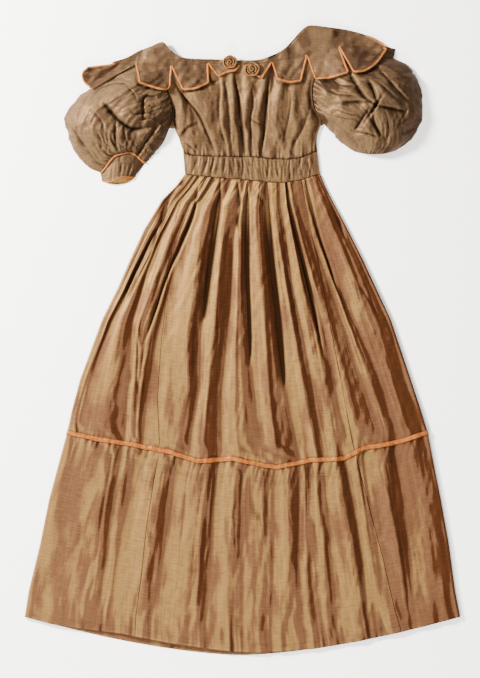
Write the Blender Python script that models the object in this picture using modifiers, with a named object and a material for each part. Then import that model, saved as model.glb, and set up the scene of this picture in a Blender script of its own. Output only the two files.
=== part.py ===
"""An ankle-length silk taffeta dress with puffed sleeves and a dagged collar, laid flat on its back.

The scene is in metres, +Z up, with +Y towards the neck and the ground at z = 0. Sizes and tables
are in millimetres, and shares of a width or a length are named as such.
"""

import math
from collections import namedtuple

import bpy
import numpy as np
from mathutils import Vector
from mathutils.bvhtree import BVHTree

MM = 0.001
COLLECTION_NAME = "taffeta_dress"

# Walls and clearances
CLOTH = 1.2
COLLAR_CLOTH = 1.0
RIBBON_CLOTH = 1.0
GAP = 0.4
SEAM_GAP = 0.9

# Skirt: the level is 0 near the waist and 1 at the hem, the share is 0 at the left edge and 1 at the right
SKIRT_TOP = 315.0
SKIRT_FALL = 868.0
RIBBON_WIDTH = 9.0
RIBBON_END_SHARE = 0.12
HEM_LEVEL = 1.0

SkirtEdge = namedtuple("SkirtEdge", "y left right")
SKIRT_EDGES = (
    SkirtEdge(y=334, left=-114, right=155),
    SkirtEdge(y=309, left=-133, right=165),
    SkirtEdge(y=281, left=-161, right=179),
    SkirtEdge(y=221, left=-197, right=211),
    SkirtEdge(y=161, left=-225, right=241),
    SkirtEdge(y=101, left=-251, right=269),
    SkirtEdge(y=41, left=-281, right=297),
    SkirtEdge(y=-19, left=-303, right=317),
    SkirtEdge(y=-79, left=-325, right=337),
    SkirtEdge(y=-139, left=-341, right=357),
    SkirtEdge(y=-185, left=-351, right=371),
    SkirtEdge(y=-259, left=-371, right=385),
    SkirtEdge(y=-319, left=-387, right=397),
    SkirtEdge(y=-409, left=-405, right=413),
    SkirtEdge(y=-499, left=-427, right=425),
    SkirtEdge(y=-556, left=-436, right=436),
)

# How far the middle of the skirt hangs below its sides
Dip = namedtuple("Dip", "level depth")
DIPS = (Dip(0.0, 10), Dip(0.57, 64), Dip(1.0, 76))

# Level of the ribbon, and how far the front hem stops short of the back one
RibbonPoint = namedtuple("RibbonPoint", "share level")
RIBBON_LINE = (
    RibbonPoint(0.00, 0.575),
    RibbonPoint(0.17, 0.560),
    RibbonPoint(0.28, 0.560),
    RibbonPoint(0.36, 0.572),
    RibbonPoint(0.46, 0.562),
    RibbonPoint(0.58, 0.582),
    RibbonPoint(0.68, 0.573),
    RibbonPoint(0.77, 0.582),
    RibbonPoint(0.83, 0.568),
    RibbonPoint(0.92, 0.575),
    RibbonPoint(1.00, 0.575),
)
BACK_RIBBON_LEVEL = 0.572
HemRise = namedtuple("HemRise", "share level")
HEM_RISES = (HemRise(0.06, 0), HemRise(0.22, 0.015), HemRise(0.4, 0.011), HemRise(0.66, 0), HemRise(1, 0))

# Seams between the four breadths of silk, as shares of the width at these levels
SEAM_LEVELS = (0.0, 0.1, 0.3, 0.55, 0.8, 1.0)
FRONT_SEAM_LEFT = (0.08, 0.13, 0.20, 0.25, 0.247, 0.25)
FRONT_SEAM_RIGHT = (0.86, 0.83, 0.80, 0.80, 0.84, 0.87)
BACK_SEAM_LEFT = (0.33, 0.33, 0.335, 0.34, 0.34, 0.34)
BACK_SEAM_RIGHT = (0.66, 0.65, 0.62, 0.59, 0.57, 0.57)

# Fold lines of the skirt: crests and valleys, with their heights and their shares of the width in percent
Fold = namedtuple("Fold", "kind heights shares")
UPPER_HEIGHT_LEVELS = (0.0, 0.22, 0.57)
UPPER_SHARE_LEVELS = (0.0, 0.1, 0.2, 0.3, 0.42, 0.57)
UPPER_FOLDS = (
    Fold("edge", (5, 8, 8), (0, 0, 0, 0, 0, 0)),
    Fold("crest", (7, 10, 9), (3.5, 3.2, 1.8, 1.3, 1.2, 1.2)),
    Fold("valley", (3.6, 4.5, 8), (7, 6.5, 3.5, 2.5, 2.3, 2.3)),
    Fold("crest", (6.5, 10, 11), (8, 7.5, 5.5, 6, 8, 9)),
    Fold("valley", (4, 4, 4.5), (9, 8.5, 8, 9.5, 13.5, 15.5)),
    Fold("crest", (8, 13, 7), (13.3, 13.2, 12.5, 12.2, 15.2, 16.7)),
    Fold("valley", (6, 9, 6.5), (17, 16.4, 15.4, 14.6, 16.2, 17.6)),
    Fold("crest", (8, 10, 7), (18.7, 17.6, 16.4, 15.9, 17.2, 18.8)),
    Fold("valley", (3.6, 3.6, 4.5), (20.3, 19.3, 18.2, 18.8, 19.8, 20.5)),
    Fold("crest", (8, 15, 11), (27, 27.5, 28, 28.8, 31.5, 29.5)),
    Fold("valley", (3.6, 3.6, 5), (34, 33.8, 33.6, 33.8, 35.5, 33.5)),
    Fold("crest", (8, 15, 10), (38.5, 38.3, 38, 38.3, 38.2, 37.5)),
    Fold("valley", (3.6, 3.6, 4), (44, 44, 43.8, 43.3, 42.5, 43)),
    Fold("crest", (7, 12, 10), (46.3, 46.3, 46.2, 46.5, 47, 47.5)),
    Fold("valley", (3.6, 4, 5), (50.3, 50.3, 50.4, 51.3, 52.8, 54.8)),
    Fold("crest", (8, 14, 10), (56, 56, 56, 56.5, 57.3, 58.5)),
    Fold("valley", (3.6, 3.6, 3.6), (61, 61.3, 61.8, 62.3, 63.2, 64.5)),
    Fold("crest", (8, 13, 9), (66.5, 66.7, 66.4, 66.8, 67.8, 69)),
    Fold("valley", (4, 5, 5), (70, 70, 69, 69.8, 71, 72)),
    Fold("crest", (7, 11, 9), (73.2, 73.2, 73, 73.4, 74, 75)),
    Fold("valley", (3.6, 3.6, 6), (75, 75.4, 76, 77.3, 78, 79)),
    Fold("crest", (7, 10, 8), (77, 77.3, 77.8, 79, 80, 81)),
    Fold("valley", (3.6, 3.8, 6), (86, 82.7, 83.5, 84.6, 86.5, 88)),
    Fold("crest", (6, 8, 8), (88, 85.5, 85.8, 86.4, 88.5, 90)),
    Fold("valley", (4.5, 5.5, 5.5), (90, 88, 87.6, 88.5, 91.5, 92.5)),
    Fold("crest", (7, 12, 9), (95, 94.5, 94.3, 94.5, 95, 95.5)),
    Fold("edge", (5, 8, 8), (100, 100, 100, 100, 100, 100)),
)
LOWER_HEIGHT_LEVELS = (0.57, 0.8, 1.0)
LOWER_SHARE_LEVELS = (0.57, 0.68, 0.8, 0.9, 1.0)
LOWER_FOLDS = (
    Fold("edge", (8, 8, 8), (0, 0, 0, 0, 0)),
    Fold("crest", (11, 10, 8), (12, 12.3, 12.6, 12.8, 12.6)),
    Fold("valley", (4, 4.5, 6), (15.2, 15.3, 16, 16.3, 16)),
    Fold("crest", (6, 6, 6.5), (16.7, 16.9, 17.2, 17.5, 17.4)),
    Fold("valley", (4.5, 5, 6), (18.8, 18.8, 19, 19, 19)),
    Fold("crest", (11, 10, 8), (26.6, 26.2, 25.8, 25.8, 26)),
    Fold("valley", (4.5, 5, 7), (30.3, 30, 29.5, 29.5, 29.6)),
    Fold("crest", (12, 11, 8), (39, 38.6, 38.3, 38.4, 39)),
    Fold("valley", (3.8, 4, 7), (41.9, 41.7, 41.6, 41.2, 41.4)),
    Fold("crest", (10, 9, 8), (46.4, 46.4, 46.5, 46.7, 47)),
    Fold("valley", (6, 6, 7), (49.4, 49.4, 49.5, 49.8, 50)),
    Fold("crest", (8, 8, 7.5), (54.6, 54.5, 54.3, 54.2, 54.4)),
    Fold("valley", (4, 5, 6.5), (57.8, 57.6, 57.3, 57.2, 57.3)),
    Fold("crest", (9, 9, 8), (61.2, 61, 60.9, 61.2, 61.8)),
    Fold("valley", (3.6, 3.8, 5), (64.7, 64.2, 63.6, 64.2, 65)),
    Fold("crest", (7, 7.5, 7), (66, 65.7, 65.3, 65.8, 66.6)),
    Fold("valley", (5, 5.5, 6.5), (67.6, 67.4, 67.3, 67.6, 68.2)),
    Fold("crest", (8, 8, 7.5), (69.3, 69.3, 69.8, 70.1, 70.4)),
    Fold("valley", (5, 5, 6.5), (71.3, 71.4, 71.7, 72.2, 72.6)),
    Fold("crest", (11, 11, 8.5), (74.8, 76, 77, 78, 78.6)),
    Fold("valley", (3.8, 3.8, 5.5), (77, 78.3, 79.3, 79.8, 80.2)),
    Fold("crest", (7, 7, 7), (79.6, 80.4, 81, 81.6, 82)),
    Fold("valley", (5, 5, 6.5), (82.4, 82.8, 83.2, 83.4, 83.6)),
    Fold("crest", (11, 10, 8), (88, 88, 88, 88.4, 88.6)),
    Fold("valley", (3.8, 4, 6), (90.8, 91, 91, 91.2, 91.3)),
    Fold("crest", (10, 9, 8), (97, 97, 97, 97, 97)),
    Fold("edge", (8, 8, 8), (100, 100, 100, 100, 100)),
)
FOLDS_MEET = (0.53, 0.60)

# Columns and rows of the skirt's panels
SIDE_COLUMNS = 16
FRONT_COLUMNS = 44
UNDER_COLUMNS = 3
TURN_STEPS = 4
UPPER_ROWS = 8
LOWER_ROWS = 5

# Bodice: edge lines from the shoulders down to the waistband, in plan
ARMHOLE_LEFT = ((-189, 571), (-179, 549), (-163, 523), (-147, 493), (-139, 465), (-139, 439))
ARMHOLE_RIGHT = ((179, 613), (169, 581), (153, 549), (141, 515), (139, 491), (143, 465), (157, 439))
SIDE_LEFT = ((-139, 439), (-135, 421), (-127, 404), (-123, 391), (-119, 380))
SIDE_RIGHT = ((157, 439), (151, 415), (148, 397), (149, 380))
NECKLINE = (
    (-189, 571), (-161, 590), (-145, 581), (-125, 567), (-95, 563), (-55, 562), (-5, 560),
    (31, 561), (59, 570), (83, 583), (101, 601), (117, 619), (131, 625), (179, 613),
)
BAND_TOP = ((-119, 380), (-105, 371), (-41, 368), (21, 367), (57, 363.4), (99, 363.4), (125, 369), (149, 380))
BAND_FOOT = ((-115, 332), (-45, 325), (9, 321), (87, 316), (155, 332))
BACK_FOOT = (BAND_FOOT[0], BAND_FOOT[-1])
BACK_NECK_DROP = 10.0
BACK_INSET = 1.0
BODICE_HEIGHT_LEVELS = (0.0, 0.35, 0.62, 0.78, 1.0)
BODICE_SHARE_LEVELS = (0.0, 0.35, 0.7, 1.0)
BODICE_FOLDS = (
    Fold("edge", (11, 13, 9, 4.9, 3.2), (0, 0, 0, 0)),
    Fold("crest", (11, 13, 12, 8, 6.5), (2.5, 4.5, 9, 12)),
    Fold("valley", (9, 9, 7.5, 6, 4.6), (5, 9, 18.6, 25.4)),
    Fold("crest", (10, 13, 12.5, 10, 6.5), (20, 22, 25, 29.5)),
    Fold("valley", (8, 8.5, 8, 7, 4.6), (38.6, 35.7, 31.5, 33)),
    Fold("crest", (9, 11, 10.5, 9, 6.3), (40, 38, 35, 35.3)),
    Fold("valley", (8, 8, 7.5, 6.5, 4.5), (41.5, 40.5, 38.5, 37.5)),
    Fold("crest", (9, 12, 11.5, 9.5, 6.5), (44.3, 44.5, 42.5, 42.3)),
    Fold("valley", (6.5, 5.5, 5.5, 5, 4.4), (47, 48.6, 46.3, 47)),
    Fold("crest", (9, 12, 11.5, 9.5, 6.5), (51.5, 53.5, 49.5, 49.3)),
    Fold("valley", (8, 8, 7.5, 6.5, 4.6), (56.5, 58.4, 52.7, 51.5)),
    Fold("crest", (9, 12.5, 12, 9.5, 6.5), (62, 63.5, 57.5, 55.2)),
    Fold("valley", (6.5, 5.5, 5.5, 5, 4.4), (67.4, 68.9, 62.8, 58.6)),
    Fold("crest", (9, 13, 12, 10, 6.5), (72.5, 77, 70.5, 66.5)),
    Fold("valley", (8.5, 10.5, 9, 7.5, 4.8), (77.7, 85.3, 78, 74.6)),
    Fold("crest", (9.5, 13, 11.5, 9, 6.4), (86, 90, 83.5, 78)),
    Fold("valley", (10, 11, 8.5, 6.5, 4.6), (94, 95, 89.2, 81.1)),
    Fold("crest", (11, 13, 10, 7.5, 6), (97.5, 97.8, 95, 90)),
    Fold("edge", (11, 13, 9, 4.9, 3.2), (100, 100, 100, 100)),
)
BODICE_ROWS = 8
BAND_HEIGHT = 5.6
BAND_EDGE_HEIGHT = 3.1
BAND_RIPPLE = 0.7
BAND_RIPPLES = 16
BAND_END_SHARE = 1 / 12
BACK_PLACKET_HALF = 6.0

# Where the bodice back rises over the collar that lies under it
COLLAR_LIFT = 1.4
LIFT_STARTS = 385.0
LIFT_ENDS = 418.0

# Sleeves: the outer and the underarm outline run from the armhole to the cuff seam
Crease = namedtuple("Crease", "depth width route")
Sleeve = namedtuple("Sleeve", "side armhole outer under cuff_seam mouth heights creases")
SLEEVE_HEIGHT_LEVELS = (0.0, 0.12, 0.3, 0.5, 0.72, 0.9, 1.0)
SLEEVE_LEFT = Sleeve(
    side="left",
    armhole=ARMHOLE_LEFT,
    outer=(
        (-209, 553), (-249, 539), (-289, 515), (-331, 485),
        (-354, 449), (-351, 413), (-331, 375), (-309, 347), (-286, 336),
    ),
    under=((-149, 417), (-155, 403), (-163, 389), (-175, 377), (-185, 367), (-192, 357)),
    cuff_seam=((-286, 336), (-258, 350), (-222, 358), (-192, 357)),
    mouth=((-281, 319), (-262, 314), (-235, 315), (-215, 326)),
    heights=(14, 27, 44, 50, 42, 26, 15),
    creases=(
        Crease(-9, 9, ((-300, 497), (-277, 516), (-243, 522), (-212, 510))),
        Crease(-17, 10, ((-277, 474), (-249, 441), (-239, 433), (-218, 421), (-193, 423), (-166, 430))),
        Crease(-8, 7, ((-197.6, 437), (-195.6, 483), (-171, 485))),
        Crease(-6, 7, ((-343, 429), (-310, 381))),
        Crease(-7, 8, ((-251, 441), (-253, 397), (-247, 377))),
        Crease(-9, 8, ((-149, 441), (-169, 425), (-201.8, 381), (-218, 351))),
    ),
)
SLEEVE_RIGHT = Sleeve(
    side="right",
    armhole=ARMHOLE_RIGHT,
    outer=(
        (215, 590), (259, 571), (299, 565), (327, 551), (347, 527),
        (359, 497), (361, 467), (357, 439), (345, 411), (327, 393), (305, 379),
    ),
    under=((165, 430), (180, 414), (194, 400), (206, 390), (215, 383), (223, 378)),
    cuff_seam=((223, 378), (250, 373), (280, 373), (305, 379)),
    mouth=((232, 390), (252, 386), (278, 386), (296, 391)),
    heights=(14, 27, 46, 54, 48, 30, 17),
    creases=(
        Crease(-20, 13, ((262, 470), (268, 466))),
        Crease(-7, 7, ((210.6, 540), (223, 514), (242, 484.4), (262, 470))),
        Crease(-7, 7, ((249, 521), (262.4, 491.8), (268, 470))),
        Crease(-7, 7, ((270, 467), (290.2, 462.2), (329, 455))),
        Crease(-8, 7, ((259, 464), (238.4, 440), (221.6, 414))),
        Crease(-7, 7, ((262, 460), (262.4, 432.4), (277, 405))),
        Crease(-6, 7, ((197.6, 473), (243.8, 475))),
        Crease(-6, 8, ((290.2, 517.6), (334.6, 473))),
        Crease(-6, 8, ((347.6, 451), (346, 432), (318, 410.2))),
    ),
)
ARMHOLE_ROOM = 1.6
SLEEVE_ROWS = 10
SLEEVE_TOP_COLUMNS = 20
SLEEVE_UNDER_COLUMNS = 6
SLEEVE_ROUND = 0.7
SLEEVE_LIFT_ENDS = (0.5, 0.64)
LEAST_PUFF = 9.0
CUFF_HEIGHT = 13.0
CUFF_END_SHARE = 0.02
TUCKED_CUFF_HEIGHT = 10.0
TUCKED_CUFF_END_SHARE = 0.16
TUCKED_CUFF_RISES = (5.0, 12.0)
CUFF_TOP_COLUMNS = 10
CUFF_UNDER_COLUMNS = 4
PIPING_RADIUS = 1.3
PIPING_ROOM = 4.4

# Collar: a row is a tab, from its place on the neck or shoulder line to its outer edge
Tab = namedtuple("Tab", "name neck root outer")
COLLARS = {
    "left": (
        Tab(
            "4",
            ((-3, 553), (-49, 556), (-71, 557.5)),
            ((-5, 550), (-69, 554)),
            ((-13, 539), (-31, 535), (-49, 527)),
        ),
        Tab(
            "3",
            ((-71, 557.5), (-113, 561), (-131, 569), (-145, 580)),
            ((-69, 554), (-141.4, 547)),
            ((-67, 515), (-91, 503), (-119, 500)),
        ),
        Tab(
            "2",
            ((-145, 580), (-159, 596), (-185, 587), (-207, 579)),
            ((-141.4, 547), (-213, 552)),
            ((-144, 507), (-153, 499), (-179, 504), (-205, 513)),
        ),
        Tab(
            "1",
            ((-207, 579), (-233, 565), (-259, 557)),
            ((-213, 552), (-255, 553)),
            ((-301, 501), (-317, 517), (-320, 533), (-309, 545)),
        ),
    ),
    "right": (
        Tab(
            "4",
            ((1, 553), (41, 555), (59, 564)),
            ((5, 550), (59, 556)),
            ((11, 539), (27, 529), (39, 523)),
        ),
        Tab(
            "3",
            ((59, 564), (91, 586), (105, 601)),
            ((59, 556), (129, 568)),
            ((70, 521), (95, 515), (117, 518)),
        ),
        Tab(
            "2",
            ((105, 601), (117, 615), (133, 629), (179, 625), (209, 621)),
            ((129, 568), (193, 586)),
            ((145, 521), (175, 523), (211, 533)),
        ),
        Tab(
            "1",
            ((209, 621), (239, 613), (263, 603), (287, 587)),
            ((193, 586), (283, 584)),
            ((221, 533), (243, 536), (267, 552), (288, 582)),
        ),
    ),
}
TAB_COLUMNS = 8
BAND_ROWS = 3
TAB_ROWS = 4
COLLAR_LIFT_OFF = 0.5
COLLAR_REACH = 13.0
PROBE_STEP = 2.5
PROBE_FROM = 300.0
COLLAR_EDGE_HEIGHT = 5.0
TAB_TIP_HEIGHT = 12.0
BINDING_WIDTH = 3.6
BINDING_EDGE_SHARE = 0.012
BINDING_LIFT_OFF = 0.6
BINDING_REACH = 6.0

# The collar's back half lies on the ground under the bodice back
BackCollar = namedtuple("BackCollar", "side neck fold outer")
BACK_COLLARS = (
    BackCollar(
        "left",
        neck=((-1.2, 543), (-60, 548), (-113, 552), (-140, 566), (-157, 588)),
        fold=((-157, 588), (-205, 572), (-250, 549)),
        outer=((-1.2, 452), (-80, 438), (-147, 425), (-215, 470), (-250, 549)),
    ),
    BackCollar(
        "right",
        neck=((1.2, 543), (50, 548), (85, 573), (112, 602), (133, 620)),
        fold=((133, 620), (215, 606), (306, 583)),
        outer=((1.2, 452), (80, 438), (152, 428), (235, 480), (296, 556), (306, 583)),
    ),
)
BACK_DAGS = 3
BACK_DAG_DEPTH = 12.0

# Rosettes: a coil of rolled silk
Rosette = namedtuple("Rosette", "side centre radius")
ROSETTES = (Rosette("left", (-25, 556), 14.0), Rosette("right", (19, 541), 15.0))
ROLL_RADIUS = 2.0
ROLL_PITCH = 4.9
ROLL_START = 0.45
ROLL_STEPS = 14
ROSETTE_LIFT_OFF = 0.2

# Colours, in linear light
SILK = (0.29, 0.19, 0.11)
SILK_DARK = (0.24, 0.15, 0.085)
SATIN = (0.62, 0.25, 0.09)


def smooth(points, shares):
    """Points at the given shares of the length of the smooth line through a table's points."""
    table = np.asarray(points, float)
    table = np.vstack([2 * table[0] - table[1], table, 2 * table[-1] - table[-2]])
    step = np.linspace(0, 1, 12, endpoint=False)[:, None]
    runs = []
    for a, b, c, d in zip(table, table[1:], table[2:], table[3:]):
        curve = step * ((c - a) + step * ((2 * a - 5 * b + 4 * c - d) + step * (3 * (b - c) + d - a)))
        runs.append(b + 0.5 * curve)
    line = np.vstack(runs + [table[-2:-1]])
    lengths = np.concatenate([[0], np.cumsum(np.linalg.norm(np.diff(line, axis=0), axis=1))])
    places = np.asarray(shares, float) * lengths[-1]
    return np.stack([np.interp(places, lengths, line[:, axis]) for axis in range(line.shape[1])], axis=-1)


def patch(left, right, top, bottom, across, down):
    """Plan points inside four edge lines, at shares across and down (a Coons patch)."""
    upper = smooth(top, across)
    lower = smooth(bottom, across)
    across = across[..., None]
    down_share = down[..., None]
    sides = (1 - across) * smooth(left, down) + across * smooth(right, down)
    ends = (1 - down_share) * upper + down_share * lower
    corners = (1 - down_share) * ((1 - across) * np.array(top[0]) + across * np.array(top[-1]))
    corners = corners + down_share * ((1 - across) * np.array(bottom[0]) + across * np.array(bottom[-1]))
    return sides + ends - corners


def grid(columns, rows):
    """Shares across and down of an even grid."""
    return np.meshgrid(np.linspace(0, 1, columns + 1), np.linspace(0, 1, rows + 1))


def eased(share):
    """A share that starts and ends gently."""
    return (1 - np.cos(np.pi * np.clip(share, 0, 1))) / 2


def folded(across, down, folds, height_levels, share_levels):
    """Height of a folded panel, which goes gently from each fold line to the next."""
    at = [np.interp(down, share_levels, fold.shares) / 100 for fold in folds]
    tall = [np.interp(down, height_levels, fold.heights) for fold in folds]
    height = tall[0]
    for here, beyond, low, high in zip(at, at[1:], tall, tall[1:]):
        height = height + (high - low) * eased((across - here) / (beyond - here))
    return height


def creased(x, y, creases):
    """Height added by troughs that follow short routes over the cloth. Where they meet, the deepest holds."""
    total = np.zeros_like(x)
    for crease in creases:
        route = smooth(crease.route, np.linspace(0, 1, 10))
        near = np.full_like(x, np.inf)
        for (ax, ay), (bx, by) in zip(route, route[1:]):
            run = (bx - ax) ** 2 + (by - ay) ** 2
            along = np.clip(((x - ax) * (bx - ax) + (y - ay) * (by - ay)) / run, 0, 1)
            near = np.minimum(near, np.hypot(x - ax - along * (bx - ax), y - ay - along * (by - ay)))
        added = crease.depth * np.exp(-((near / crease.width) ** 2))
        total = np.where(np.abs(added) > np.abs(total), added, total)
    return total


def material(name, colour, roughness):
    """A plain finish of its own for one piece."""
    made = bpy.data.materials.new(name)
    made.use_nodes = True
    shader = made.node_tree.nodes["Principled BSDF"]
    shader.inputs["Base Color"].default_value = (*colour, 1)
    shader.inputs["Roughness"].default_value = roughness
    shader.inputs["Metallic"].default_value = 0.0
    return made


def grid_faces(rows, columns, ring=False):
    """Quads over a grid of points, whose columns may close into a ring."""
    faces = []
    for row in range(rows - 1):
        for column in range(columns if ring else columns - 1):
            here = row * columns + column
            beside = row * columns + (column + 1) % columns
            faces.append((here, here + columns, beside + columns, beside))
    return faces


def cloth(name, points, faces, thickness, colour=SILK, roughness=0.45):
    """A cloth wall: an open surface of points in millimetres, thickened away from its outer side."""
    mesh = bpy.data.meshes.new(name)
    mesh.from_pydata([tuple(MM * value for value in point) for point in points], [], faces)
    mesh.materials.append(material(name, colour, roughness))
    mesh.shade_smooth()
    mesh.set_sharp_from_angle(angle=math.radians(50))
    piece = bpy.data.objects.new(name, mesh)
    bpy.data.collections[COLLECTION_NAME].objects.link(piece)
    wall = piece.modifiers.new("wall", "SOLIDIFY")
    wall.thickness = MM * thickness
    wall.offset = -1
    return piece


def sheet(name, plan, height, thickness, ring=False, **finish):
    """A cloth wall on a grid of plan points and outer heights."""
    rows, columns = height.shape
    points = np.dstack([plan, height]).reshape(-1, 3)
    return cloth(name, points, grid_faces(rows, columns, ring), thickness, **finish)


def tube(name, points, radius, closed=False, colour=SATIN, roughness=0.35):
    """A round cord along points in millimetres."""
    curve = bpy.data.curves.new(name, "CURVE")
    curve.dimensions = "3D"
    curve.bevel_depth = MM * radius
    curve.bevel_resolution = 1
    curve.use_fill_caps = not closed
    line = curve.splines.new("POLY")
    line.points.add(len(points) - 1)
    for target, point in zip(line.points, points):
        target.co = (*(MM * value for value in point), 1)
    line.use_cyclic_u = closed
    curve.materials.append(material(name, colour, roughness))
    piece = bpy.data.objects.new(name, curve)
    bpy.data.collections[COLLECTION_NAME].objects.link(piece)
    return piece


# Skirt


def skirt_edge(level):
    """The skirt's left and right edge at a level."""
    y = SKIRT_TOP - SKIRT_FALL * level
    rows = SKIRT_EDGES[::-1]
    ys = [row.y for row in rows]
    return np.interp(y, ys, [row.left for row in rows]), np.interp(y, ys, [row.right for row in rows])


def skirt_plan(share, level, turn):
    """Plan points of the skirt, whose side turns have the radius given."""
    left, right = skirt_edge(level)
    x = left + turn + (right - left - 2 * turn) * share
    dip = np.interp(level, [row.level for row in DIPS], [row.depth for row in DIPS])
    power = 2 - np.maximum(0, level - 0.6)
    y = SKIRT_TOP - SKIRT_FALL * level - dip * (1 - np.abs(2 * share - 1) ** power)
    return x, y


def skirt_height(share, level):
    """Outer height of the skirt's front."""
    upper = folded(share, level, UPPER_FOLDS, UPPER_HEIGHT_LEVELS, UPPER_SHARE_LEVELS)
    lower = folded(share, level, LOWER_FOLDS, LOWER_HEIGHT_LEVELS, LOWER_SHARE_LEVELS)
    starts, ends = FOLDS_MEET
    mix = eased((level - starts) / (ends - starts))
    return upper + (lower - upper) * mix


def edge_height(level):
    """Height of the skirt's side turns, which is twice their radius."""
    return skirt_height(np.zeros_like(level), level)


def waist_level(share, foot):
    """Level at which the skirt meets the foot line of the waistband."""
    level = np.zeros_like(share)
    foot = smooth(foot, np.linspace(0, 1, 2 * BAND_RIPPLES + 1))
    for _ in range(8):
        x, y = skirt_plan(share, level, edge_height(level) / 2)
        level = level + (y + GAP - np.interp(x, foot[:, 0], foot[:, 1])) / SKIRT_FALL
    return level


def ribbon_level(share):
    """Level of the ribbon's middle."""
    return np.interp(share, [point.share for point in RIBBON_LINE], [point.level for point in RIBBON_LINE])


def hem_level(share):
    """Level of the front hem."""
    return HEM_LEVEL - np.interp(share, [row.share for row in HEM_RISES], [row.level for row in HEM_RISES])


def tier_level(tier, share, down, under):
    """Level on the upper skirt or the flounce, between its own two seams."""
    room = (RIBBON_WIDTH / 2 + GAP if under else GAP / 2) / SKIRT_FALL
    middle = BACK_RIBBON_LEVEL if under else ribbon_level(share)
    if tier == "skirt":
        starts = waist_level(share, BACK_FOOT if under else BAND_FOOT)
        ends = middle - room
    else:
        starts = middle + room
        ends = np.full_like(share, HEM_LEVEL) if under else hem_level(share)
    return starts + (ends - starts) * down


def seam_share(seam, level):
    """Share of the width at which a seam lies."""
    return np.interp(level, SEAM_LEVELS, seam)


def tier_down(tier):
    """Shares down a tier, one for each row of points."""
    return np.linspace(0, 1, (UPPER_ROWS if tier == "skirt" else LOWER_ROWS) + 1)


def tier_points(tier, down, from_share, to_share, columns, under=False):
    """Rows of points between two seams. A share given as a tuple is a seam."""
    guess = tier_level(tier, np.full_like(down, 0.5), down, under)
    first = seam_share(from_share, guess) if isinstance(from_share, tuple) else np.full_like(down, from_share)
    last = seam_share(to_share, guess) if isinstance(to_share, tuple) else np.full_like(down, to_share)
    share = first[:, None] + (last - first)[:, None] * np.linspace(0, 1, columns + 1)
    level = tier_level(tier, share, np.broadcast_to(down[:, None], share.shape), under)
    x, y = skirt_plan(share, level, edge_height(level) / 2)
    height = np.zeros_like(x) if under else skirt_height(share, level)
    return np.stack([x, y, height], axis=-1)


def seam_gapped(points, first=True, last=True):
    """Points whose outer columns are drawn in by half a gap at each seam."""
    drawn = points.copy()
    if first:
        drawn[:, 0, 0] += SEAM_GAP / 2
    if last:
        drawn[:, -1, 0] -= SEAM_GAP / 2
    return drawn


def side_turn(level, side, out=0.0, radius=None):
    """Points of the rounded fold at one side, from the top down, without its two ends."""
    share = np.full_like(level, 0.0 if side < 0 else 1.0)
    radius = edge_height(level) / 2 if radius is None else radius
    x, y = skirt_plan(share, level, radius)
    angle = np.linspace(0, math.pi, TURN_STEPS + 1)[1:-1]
    turned_x = x[:, None] + side * (radius[:, None] + out) * np.sin(angle)
    turned_z = radius[:, None] + (radius[:, None] + out) * np.cos(angle)
    return np.stack([turned_x, np.broadcast_to(y[:, None], turned_x.shape), turned_z], axis=-1)


def add_tier(tier):
    """The four breadths of one tier: front, two sides that wrap round the folds, and back."""
    down = tier_down(tier)
    front = tier_points(tier, down, FRONT_SEAM_LEFT, FRONT_SEAM_RIGHT, FRONT_COLUMNS)
    add_panel(f"{tier}_front", seam_gapped(front))
    left_front = tier_points(tier, down, 0.0, FRONT_SEAM_LEFT, SIDE_COLUMNS)
    left_under = tier_points(tier, down, 0.0, BACK_SEAM_LEFT, UNDER_COLUMNS, under=True)
    edge = {side: tier_level(tier, np.full_like(down, max(side, 0.0)), down, under=False) for side in (-1, 1)}
    left = np.concatenate([left_under[:, ::-1], side_turn(edge[-1], -1)[:, ::-1], left_front], axis=1)
    left[:, (0, -1), 0] -= SEAM_GAP / 2
    add_panel(f"{tier}_side_left", left)
    right_front = tier_points(tier, down, FRONT_SEAM_RIGHT, 1.0, SIDE_COLUMNS)
    right_under = tier_points(tier, down, BACK_SEAM_RIGHT, 1.0, UNDER_COLUMNS, under=True)
    right = np.concatenate([right_front, side_turn(edge[1], 1), right_under[:, ::-1]], axis=1)
    right[:, (0, -1), 0] += SEAM_GAP / 2
    add_panel(f"{tier}_side_right", right)
    back = tier_points(tier, down, BACK_SEAM_LEFT, BACK_SEAM_RIGHT, UNDER_COLUMNS, under=True)
    add_panel(f"{tier}_back", seam_gapped(back)[:, ::-1])


def add_panel(name, points, thickness=CLOTH, **finish):
    """A cloth wall on rows of points."""
    return sheet(name, points[..., :2], points[..., 2], thickness, **finish)


def panel_shares(seams, columns):
    """Shares across the ribbon at the columns of the three panels that two seams part."""
    stops = [0.0] + [float(seam_share(seam, BACK_RIBBON_LEVEL)) for seam in seams] + [1.0]
    runs = [np.linspace(a, b, count, endpoint=False) for a, b, count in zip(stops, stops[1:], columns)]
    return np.concatenate(runs + [[1.0]])


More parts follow.
